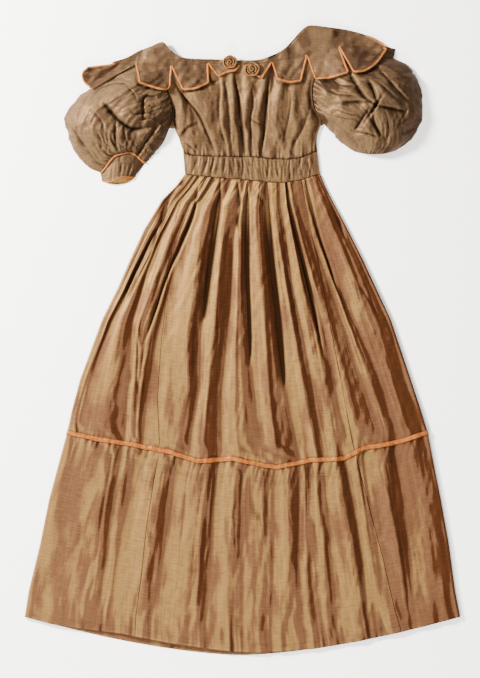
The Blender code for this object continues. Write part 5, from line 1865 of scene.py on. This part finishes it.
@dataclass
class Sleeve:
    """A puffed sleeve, its cuff and its piping."""

    wardrobe: Wardrobe
    form: SleeveForm
    top_columns: int = 150
    under_columns: int = 30
    rows: int = 130
    mouth_lip: float = 13.0
    seam_arch: float = 19.0
    rumpling: float = 2.6
    tucked_up: float = 7.0
    sunken: float = 0.8
    crumpling: float = 1.35
    cuff_starts: float = 1.2
    piping_radius: float = 1.9

    def edges(self) -> tuple[Sequence[Point], ...]:
        """The four edge lines in plan."""
        form = self.form
        out = form.side.sign * ARMHOLE_ROOM
        armhole = tuple((x + out, y) for x, y in form.armhole)
        outer = armhole[:1] + form.outer
        under = armhole[-1:] + form.under
        if form.side is Side.LEFT:
            return outer, under, armhole, form.cuff_seam
        return under, outer, armhole[::-1], form.cuff_seam

    def rumple(self, plan: Array, across: Array) -> Array:
        """How far the puff's outline is pushed in and out.

        Args:
            plan: its plan points.
            across: their shares across.

        Returns:
            The shift of each point.
        """
        seed = 64 if self.form.side is Side.LEFT else 67
        push = Noise(seed).creased(plan[..., 0] / 42, plan[..., 1] / 42) * self.rumpling
        free = eased(np.abs(plan[..., 1] - self.form.cuff_seam[0][1]) / 30)
        free = free * eased(np.abs(plan[..., 0] - self.form.armhole[-1][0]) / 40)
        return np.dstack([push * free * (2 * across - 1), np.zeros_like(push)])

    @staticmethod
    def raised(down: Array) -> Array:
        """How high the top of the puff lies on the back of the collar."""
        starts, ends = SLEEVE_LIFT_ENDS
        return (COLLAR_LIFT + GAP / 2) * (1 - eased((down - starts) / (ends - starts)))

    def arch(self, across: Array) -> Array:
        """How far the seam of the upper layer is drawn up the sleeve."""
        if self.form.side is Side.RIGHT:
            return np.zeros_like(across)
        return self.seam_arch * eased(across / 0.4) * eased((1 - across) / 0.34)

    def puff(self) -> Cloth:
        """The cloth of the puff."""
        edges = self.edges()
        across, down = grid(self.top_columns, self.rows)
        across = eased(across) * 0.55 + across * 0.45
        plan = patch(*edges, across, down)
        plan = plan + self.rumple(plan, across)
        plan[..., 1] += self.arch(across) * down**5
        x, y = plan[..., 0], plan[..., 1]
        round_share = np.sin(np.pi * np.clip(across, 0, 1)) ** SLEEVE_ROUND
        tall = np.interp(down, SLEEVE_HEIGHT_LEVELS, self.form.heights)
        hollow, _ = creases_over(x, y, self.form.hollows)
        hollow = self.sunken * hollow
        creased, depth = creases_over(x, y, self.form.creases)
        seed = 40 if self.form.side is Side.LEFT else 50
        girth = across * 260
        length = down * 210
        wave = Noise(seed).smooth(girth / 34, length / 90) * 2.0
        wave = wave + Noise(seed + 1).facets(girth / 30, length / 44) * 3.6
        crumple = Noise(seed + 2).facets(girth / 10, length / 19) * self.crumpling
        crumple = crumple + Noise(seed + 4).facets(girth / 4.5, length / 9) * 0.5
        gather = Noise(seed + 3).smooth(girth / 4.0, length / 60) * 2.0
        ends_share = np.exp(-length / 15) + np.exp(-(210 - length) / 12)
        room = np.sqrt(round_share)
        top = np.maximum(np.minimum(LEAST_PUFF, tall) * round_share, tall * round_share + hollow * room)
        top = top + (creased + wave + crumple + gather * ends_share) * np.clip(round_share * 1.3, 0, 1)
        top = np.maximum(top, 2.2 * np.clip(round_share * 6, 0, 1))
        upper = np.dstack([plan, self.raised(down) + top])
        across, down = grid(self.under_columns, self.rows)
        under_plan = patch(*edges, across, down)
        under_plan = under_plan + self.rumple(under_plan, across)
        under = np.dstack([under_plan, self.raised(down)])[:, ::-1][:, 1:-1]
        points = np.concatenate([upper, under], axis=1)
        bare = np.zeros(under.shape[:2])
        # The top's fall is painted slope shade and its crease value painted crease shade; the underside gets
        # an even middle tone.
        fall = np.concatenate([slope_shade_of(upper, 0.8, 0.22), bare + 0.3], axis=1)
        crease = np.concatenate([depth * room, bare], axis=1)
        return Cloth(f"sleeve_{self.form.side.value}_silk", points, fall=fall, crease=crease, ring=True)

    def cuff(self) -> Cloth:
        """The cloth of the cuff, which on the right is tucked up inside the puff."""
        form = self.form
        left = form.side is Side.LEFT
        lines = []
        for line, rise in zip((form.cuff_seam, form.mouth), TUCKED_CUFF_RISES):
            drawn_in = (0.0 if line is form.mouth else 0.02) if left else TUCKED_CUFF_END_SHARE
            points = smooth_line(line, np.linspace(drawn_in, 1 - drawn_in, 17))
            if left:
                points[:, 1] -= 0 if line is form.mouth else self.cuff_starts
            else:
                points[:, 1] += rise
            lines.append([tuple(point) for point in points])
        edges = (lines[0][0], lines[1][0]), (lines[0][-1], lines[1][-1]), lines[0], lines[1]
        across, down = grid(90, 26)
        across = eased(across)
        plan = patch(*edges, across, down)
        tall = CUFF_HEIGHT if left else TUCKED_CUFF_HEIGHT
        arch = np.sin(np.pi * across) ** SLEEVE_ROUND
        pleat = Noise(61).smooth(across * 17, down * 1.4) * 1.5
        pleat = pleat + Noise(62).creased(across * 9, down * 2) * 0.7
        full = 0.3 + 0.7 * np.sin(np.pi * np.clip(down, 0, 1))
        height = tall * arch + pleat * np.clip(arch, 0, 1) * full
        if left:
            plan[..., 1] += self.mouth_lip * down**2 * hump(across - 0.6, 0.28)
            plan[..., 1] += self.arch(across) * (1 - down)
        upper = np.dstack([plan, np.maximum(height, 1.3 * arch)])
        across, down = grid(30, 26)
        under = np.dstack([patch(*edges, across, down), np.zeros_like(across)])[:, ::-1][:, 1:-1]
        points = np.concatenate([upper, under], axis=1)
        if not left:
            points[..., 2] += 1.2 + GAP
            points = points[::-1].copy()
        return Cloth(f"cuff_{form.side.value}_silk", points, ring=True)

    def build(self, ground: Ground) -> None:
        """Makes the puff, the cuff and the trim round them.

        Args:
            ground: takes in the puff's surface.
        """
        side = self.form.side
        silk = self.wardrobe.get(SLEEVE_SILK)
        puff = self.puff()
        piece = puff.build(silk)
        declared(piece, [f"sleeve_{side.value}"])
        ground.add(piece)
        cuff = self.cuff()
        lining = self.wardrobe.get(CUFF_LINING)
        sheet = cuff.build(silk, lining)
        declared(sheet, [f"cuff_{side.value}"])
        seam = puff.points[-1].copy()
        inward = seam.mean(axis=0) - seam
        inward[:, 1] = 0
        inward /= np.linalg.norm(inward, axis=1)[:, None]
        radius = self.piping_radius
        seam = seam + inward * radius * 0.6
        ridge = np.max([np.roll(seam[:, 2], shift) for shift in range(-4, 5)], axis=0)
        seam[:, 2] = np.maximum(0.3 * seam[:, 2] + 0.7 * ridge + 0.9, radius + GAP)
        seam[:, 1] -= radius * 0.7 if side is Side.LEFT else -self.tucked_up
        satin = self.wardrobe.get(BINDING_SATIN)
        path = closed_line(seam, 6, 130)
        path[:, 0] = np.clip(path[:, 0], seam[:, 0].min() + radius, seam[:, 0].max() - radius)
        piping = sweep(f"cuff_piping_{side.value}_satin", path, radius, radius, satin, closed=True)
        declared(piping, [f"cuff_piping_{side.value}"])
        if side is Side.LEFT:
            rim = cuff.points[-1].copy()
            rim[:, 2] = np.maximum(rim[:, 2] - 0.4, 1.1)
            path = closed_line(rim, 5, 110)
            mouth = sweep("cuff_rim_left_satin", path, 1.1, 1.1, satin, closed=True)
            declared(mouth, ["cuff_piping_left"])


@dataclass
class Collar:
    """The dagged collar: its front halves over bodice and sleeves, its bindings, and its back halves."""

    wardrobe: Wardrobe
    columns: int = 30
    band_rows: int = 12
    tab_rows: int = 20
    lift: float = 1.6
    edge_height: float = 5.0
    tip_height: float = 11.0
    binding_half_width: float = 2.0
    binding_half_height: float = 1.1

    def tab_plan(self, tab: Tab) -> Array:
        """Plan points of a tab, from the neck to its outer edge."""
        share = np.linspace(0, 1, self.columns + 1)
        neck = smooth_line(tab.neck, share)
        root = smooth_line(tab.root, share)
        outer = smooth_line(tab.outer, share)
        band = [neck + (root - neck) * row / self.band_rows for row in range(self.band_rows)]
        flap = [root + (outer - root) * row / self.tab_rows for row in range(self.tab_rows + 1)]
        return np.stack(band + flap)

    def tab_points(self, tab: Tab, ground: Ground, seed: int) -> Array:
        """Points of a tab laid over the dress.

        Args:
            tab: the tab.
            ground: what it lies on.
            seed: for its own small folds.

        Returns:
            Rows of points.
        """
        plan = self.tab_plan(tab)
        rows = plan.shape[0]
        down = np.linspace(0, 1, rows)[:, None]
        over = ground.over(plan, self.lift, 6.0)
        free = self.edge_height + (self.tip_height - self.edge_height) * down
        over = np.maximum(over, free)
        for _ in range(2):
            over = np.maximum(over, blurred(blurred(over, 3, 0), 3, 1))
        x, y = plan[..., 0], plan[..., 1]
        curl = 2.2 * np.clip((down - 0.55) / 0.45, 0, 1) ** 2
        fold = Noise(seed).facets((x + y) / 30, (y - x) / 14) * 1.7
        fold = fold + Noise(seed + 1).facets(x / 9, y / 7) * 0.5
        neck = 0.8 * hump(down * rows, 2.5)
        hinge = 1.1 * hump(down * rows - self.band_rows, 0.8)
        return np.dstack([plan, over + curl + fold * (0.35 + 0.65 * down) + neck - hinge])

    def bound_edge(self, tab: Tab, side: Side, points: Array) -> Array:
        """The edge of a tab that its binding follows.

        Args:
            tab: the tab.
            side: which half it is part of.
            points: the tab's points.

        Returns:
            The points of the edge, in order.
        """
        flap = points[self.band_rows - 1 :]
        if tab.name != "1":
            return np.concatenate([flap[:, 0], flap[-1, 1:-1], flap[::-1, -1]])
        if side is Side.LEFT:
            return np.concatenate([flap[-1, 2:-1], points[::-1, -1]])
        return np.concatenate([flap[:, 0], flap[-1, 1:-1], points[::-1, -1], points[0, -2:12:-1]])

    def bind(self, tab: Tab, side: Side, points: Array) -> None:
        """Makes the binding of one tab.

        Args:
            tab: the tab.
            side: which half it is part of.
            points: the tab's points.
        """
        edge = self.bound_edge(tab, side, points)
        inward = points[self.band_rows - 1 :].mean(axis=(0, 1)) - edge
        inward[:, 2] = 0
        inward /= np.linalg.norm(inward, axis=1)[:, None]
        path = edge + inward * self.binding_half_width * 0.55
        path = smooth_line(path[::2], np.linspace(0, 1, 110))
        path[:, 2] = blurred(path[:, 2], 2, 0) + 0.1
        satin = self.wardrobe.get(BINDING_SATIN)
        name = f"binding_{side.value}_{tab.name}"
        strip = sweep(f"{name}_satin", path, self.binding_half_width, self.binding_half_height, satin)
        declared(strip, [name])

    @staticmethod
    def joined(name: str, panels: Sequence[Array], outward: bool) -> tuple[bpy.types.Mesh, dict[str, Array]]:
        """One mesh of tabs that share their side edges.

        Args:
            name: the mesh's name.
            panels: the points of each tab.
            outward: whether the faces already point up in the order of the grid.

        Returns:
            The mesh, and what the finish reads at each of its points.
        """
        vertices: list[tuple[float, ...]] = []
        painted_shades: list[float] = []
        index: dict[tuple[float, ...], int] = {}
        faces = []
        for points in panels:
            # Painted shade from the slope and in hollows, with lighter tone on ridges.
            fall = np.clip(slope_shade_of(points, 1.6, 0.25) + 0.5 * np.clip(hollow_of(points), -1, 1), 0, 1)
            rows, columns = points.shape[:2]
            names = np.zeros((rows, columns), int)
            for row, column in np.ndindex(rows, columns):
                key = tuple(np.round(points[row, column, :2], 2))
                if key not in index:
                    index[key] = len(vertices)
                    vertices.append(tuple(points[row, column]))
                    painted_shades.append(float(fall[row, column]))
                names[row, column] = index[key]
            corners = (names[:-1, :-1], names[1:, :-1], names[1:, 1:], names[:-1, 1:])
            for quad in np.stack(corners, axis=-1).reshape(-1, 4).tolist():
                if len(set(quad)) == 4:
                    faces.append(quad if outward else quad[::-1])
        mesh = bpy.data.meshes.new(name)
        mesh.from_pydata((np.array(vertices) * MM).tolist(), [], faces)
        lay_weave(mesh, np.array(vertices)[:, :2] * MM)
        return mesh, {"fall": np.array(painted_shades), "crease": np.zeros(len(vertices))}

    def front(self, side: Side, ground: Ground) -> None:
        """Makes one front half and its bindings.

        Args:
            side: which half.
            ground: what it lies on, which then takes in the half too.
        """
        first_seed = 75 if side is Side.RIGHT else 70
        tabs = COLLARS[side]
        panels = [self.tab_points(tab, ground, first_seed + 10 * number) for number, tab in enumerate(tabs)]
        mesh, values = self.joined(f"collar_front_{side.value}_silk", panels, side is Side.RIGHT)
        piece = finished(mesh.name, mesh, values, 0.9, self.wardrobe.get(COLLAR_SILK))
        declared(piece, [f"collar_front_{side.value}"])
        for tab, points in zip(tabs, panels):
            self.bind(tab, side, points)
        ground.add(piece)

    def back(self, form: BackCollar) -> None:
        """Makes one back half, which lies on the ground.

        Args:
            form: its outline.
        """
        columns = 72
        across, down = grid(columns, 20)
        plan = patch((form.neck[0], form.outer[0]), form.fold, form.neck, form.outer, across, down)
        place = np.arange(columns + 1) / columns * BACK_DAGS
        notch = BACK_DAG_DEPTH * np.clip(1 - 4 * np.abs(place - np.round(place)), 0, 1)
        notch[place < 0.5] = 0
        notch[place > BACK_DAGS - 0.5] = 0
        inward = plan[0] - plan[-1]
        inward /= np.linalg.norm(inward, axis=1)[:, None]
        plan = plan + inward[None] * notch[None, :, None] * down[..., None]
        points = np.dstack([plan, np.zeros_like(across)])
        if form.side is Side.RIGHT:
            points = points[:, ::-1].copy()
        cloth = Cloth(f"collar_back_{form.side.value}_silk", points)
        piece = cloth.build(self.wardrobe.get(COLLAR_SILK))
        declared(piece, [f"collar_back_{form.side.value}"])

    def build(self, ground: Ground) -> None:
        """Makes the whole collar.

        Args:
            ground: the bodice and the sleeves, which then takes in the collar.
        """
        for form in BACK_COLLARS:
            self.back(form)
        for side in Side:
            self.front(side, ground)


@dataclass
class Rosette:
    """A rosette of gathered silk with a satin cord round it and a curl of cord on it."""

    wardrobe: Wardrobe
    form: RosetteForm
    cord: float = 1.9

    def build(self, ground: Ground) -> None:
        """Makes the gathered coil, the ring of cord and the curl.

        Args:
            ground: what it sits on.
        """
        x, y = self.form.centre
        radius = self.form.radius
        base = ground.highest(x, y, radius * 0.8, 3) + 0.6
        name = f"rosette_{self.form.side.value}"
        coil = self.coil(base)
        piece = coil.build(self.wardrobe.get(SLEEVE_SILK))
        declared(piece, [name])
        satin = self.wardrobe.get(BINDING_SATIN)
        angle = np.linspace(0, 2 * math.pi, 61)[:-1]
        wobble = 1 + 0.06 * np.sin(2 * angle + 1) + 0.04 * np.sin(5 * angle)
        out = (radius - self.cord) * wobble
        high = base + 2.2 + 0.5 * np.sin(3 * angle)
        path = np.stack([x + out * np.cos(angle), y + out * np.sin(angle), high], axis=-1)
        declared(sweep(f"{name}_cord", path, self.cord, self.cord * 0.8, satin, True), [name])
        share = np.linspace(0, 1, 40)
        turn = self.form.side.sign * (0.6 + 4.4 * share)
        out = radius * (0.62 - 0.44 * share)
        path = np.stack([x + out * np.cos(turn), y + out * np.sin(turn), base + 3.4 + 1.2 * share], axis=-1)
        declared(sweep(f"{name}_curl", path, 0.9, 0.9, satin), [name])

    def coil(self, base: float) -> Cloth:
        """The gathered silk under the cords.

        Args:
            base: the height that it sits on.

        Returns:
            Its grid of points, from its middle out.
        """
        x, y = self.form.centre
        turn, out = grid(120, 26)
        angle = turn * 2 * math.pi
        radius = 0.4 + (self.form.radius - 1.6) * out
        swell = 1.2 + 3.4 * np.abs(np.sin(out * 2.5 * math.pi)) ** 0.8
        pleat = Noise(91).smooth(turn * 15, out * 2) * 0.8 * np.sin(np.pi * np.clip(out, 0.05, 0.95))
        seam = np.minimum(turn, 1 - turn) / 0.04
        pleat = pleat * np.clip(seam, 0, 1)
        height = base + np.maximum(swell + pleat, 0.3)
        points = np.dstack([x + radius * np.cos(angle), y + radius * np.sin(angle), height])[:, :-1]
        # Painted shade in the low grooves between the coil's swells.
        crease = np.clip(1 - swell / 2.4, 0, 0.8)[:, :-1]
        weave = np.dstack([radius * 6.28 * turn, radius])[:, :-1]
        return Cloth(f"rosette_{self.form.side.value}_silk", points, weave=weave, crease=crease, ring=True)


@dataclass
class Stitching:
    """Hand stitches along seams, each a short thread lying on the cloth."""

    wardrobe: Wardrobe
    pitch: float = 3.4
    length: float = 1.9
    radius: float = 0.22
    thread_sides: int = 5

    def tree(self) -> bpy.types.NodeTree:
        """The node tree that lays a short thread at every pitch along a line."""
        group = bpy.data.node_groups.new("stitches", "GeometryNodeTree")
        face = group.interface
        face.new_socket("Geometry", in_out="INPUT", socket_type="NodeSocketGeometry")
        for name in ("Pitch", "Length", "Radius"):
            face.new_socket(name, in_out="INPUT", socket_type="NodeSocketFloat")
        face.new_socket("Thread", in_out="INPUT", socket_type="NodeSocketMaterial")
        face.new_socket("Geometry", in_out="OUTPUT", socket_type="NodeSocketGeometry")
        kinds = (
            "NodeGroupInput",
            "GeometryNodeMeshToCurve",
            "GeometryNodeResampleCurve",
            "GeometryNodeInputTangent",
            "FunctionNodeAlignEulerToVector",
            "GeometryNodeMeshCylinder",
            "GeometryNodeInstanceOnPoints",
            "GeometryNodeRealizeInstances",
            "GeometryNodeSetMaterial",
            "NodeGroupOutput",
        )
        start, curve, even, tangent, align, rod, place, real, dress, end = map(group.nodes.new, kinds)
        even.mode = "LENGTH"
        align.axis = "Z"
        rod.inputs["Vertices"].default_value = self.thread_sides
        for source, output, target, socket in (
            (start, "Geometry", curve, "Mesh"),
            (curve, "Curve", even, "Curve"),
            (start, "Pitch", even, "Length"),
            (tangent, "Tangent", align, "Vector"),
            (start, "Length", rod, "Depth"),
            (start, "Radius", rod, "Radius"),
            (even, "Curve", place, "Points"),
            (rod, "Mesh", place, "Instance"),
            (align, "Rotation", place, "Rotation"),
            (place, "Instances", real, "Geometry"),
            (real, "Geometry", dress, "Geometry"),
            (start, "Thread", dress, "Material"),
            (dress, "Geometry", end, "Geometry"),
        ):
            group.links.new(source.outputs[output], target.inputs[socket])
        return group

    def build(self, name: str, node: str, lines: Sequence[Array], ground: Ground) -> None:
        """Sews along lines on the plan.

        Args:
            name: the piece's name.
            node: not used.
            lines: plan points of each line.
            ground: the cloth that is sewn.
        """
        vertices: list[list[float]] = []
        runs: list[tuple[int, int]] = []
        for line in lines:
            first = len(vertices)
            heights = ground.over(line[None], self.radius * 0.6)[0]
            vertices.extend((np.column_stack([line, heights]) * MM).tolist())
            runs.extend((place, place + 1) for place in range(first, len(vertices) - 1))
        mesh = bpy.data.meshes.new(f"{name}_lines")
        mesh.from_pydata(vertices, runs, [])
        source = in_scene(mesh.name, mesh)
        maker = source.modifiers.new("stitches", "NODES")
        maker.node_group = self.tree()
        sizes = {"Pitch": self.pitch * MM, "Length": self.length * MM, "Radius": self.radius * MM}
        sizes["Thread"] = self.wardrobe.get(SEAM_THREAD)
        for item in maker.node_group.interface.items_tree:
            if item.in_out == "INPUT" and item.name in sizes:
                maker[item.identifier] = sizes[item.name]
        graph = bpy.context.evaluated_depsgraph_get()
        made = bpy.data.meshes.new_from_object(source.evaluated_get(graph))
        made.name = name
        bpy.data.objects.remove(source, do_unlink=True)
        piece = in_scene(name, made)
        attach(piece, "root")
        log.info("%s: %d faces", name, len(made.polygons))


@dataclass(frozen=True)
class Lamp:
    """A soft light: where it hangs in metres, how wide it is, and how strong."""

    name: str
    place: tuple[float, float, float]
    width: float
    watts: float
    colour: Colour


@dataclass
class Studio:
    """The pale floor, the lights and the camera straight above."""

    frame_height: float = 1.356
    distance: float = 6.0
    centre: tuple[float, float] = (-0.005, 0.003)
    sensor: float = 24.0
    sky: float = 1.5
    floor_reach: float = 6.0
    floor_drop: float = 0.0002
    lamps: tuple[Lamp, ...] = (
        Lamp("key", (-2.3, 1.3, 1.6), 0.6, 620, (1.0, 0.975, 0.94)),
        Lamp("fill", (-0.5, -2.6, 2.0), 1.0, 190, (1.0, 0.975, 0.94)),
    )

    def build(self) -> None:
        """Makes everything that isn't the dress."""
        self.floor()
        for lamp in self.lamps:
            self.light(lamp)
        world = bpy.data.worlds.new("studio")
        world.use_nodes = True
        background = world.node_tree.nodes["Background"]
        background.inputs["Color"].default_value = (1.0, 0.985, 0.96, 1)
        background.inputs["Strength"].default_value = self.sky
        bpy.context.scene.world = world
        self.camera()

    def floor(self) -> None:
        """Lays the floor."""
        mesh = bpy.data.meshes.new("floor")
        reach = self.floor_reach
        corners = [(-reach, -reach, 0), (reach, -reach, 0), (reach, reach, 0), (-reach, reach, 0)]
        mesh.from_pydata(corners, [], [(0, 1, 2, 3)])
        tree = FinishTree("floor")
        tree.shader.inputs["Base Color"].default_value = (0.95, 0.945, 0.93, 1)
        tree.shader.inputs["Roughness"].default_value = 0.8
        mesh.materials.append(tree.material)
        floor = in_scene("floor", mesh)
        floor.location = (0, 0, -self.floor_drop)

    @staticmethod
    def light(lamp: Lamp) -> None:
        """Hangs one light, turned to the middle of the dress."""
        data = bpy.data.lights.new(lamp.name, "AREA")
        data.shape = "DISK"
        data.size = lamp.width
        data.energy = lamp.watts
        data.color = lamp.colour
        hung = in_scene(lamp.name, data)
        hung.location = lamp.place
        hung.rotation_euler = (-Vector(lamp.place)).to_track_quat("-Z", "Y").to_euler()

    def camera(self) -> None:
        """Places the camera."""
        data = bpy.data.cameras.new("camera")
        data.sensor_fit = "VERTICAL"
        data.sensor_height = self.sensor
        data.lens = self.sensor * self.distance / self.frame_height
        data.clip_end = 30
        camera = in_scene("camera", data)
        camera.location = (*self.centre, self.distance)
        bpy.context.scene.camera = camera


def main() -> None:
    """Builds the dress from the ground up, then the studio round it."""
    logging.basicConfig(level=logging.INFO, format="%(name)s %(message)s")
    wardrobe = Wardrobe()
    worn = Ground()
    skirt_ground = Ground()
    skirt = Skirt(wardrobe)
    skirt.build(skirt_ground)
    bodice = Bodice(wardrobe)
    bodice.build(worn)
    for form in (SLEEVE_LEFT, SLEEVE_RIGHT):
        Sleeve(wardrobe, form).build(worn)
    Collar(wardrobe).build(worn)
    for form in ROSETTES:
        Rosette(wardrobe, form).build(worn)
    stitching = Stitching(wardrobe)
    stitching.build("gather_stitches", "flounce_front", skirt.stitch_lines(), skirt_ground)
    stitching.build("waist_stitches", "bodice_front", [bodice.stitch_line()], worn)
    Studio().build()


if __name__ == "__main__":
    main()
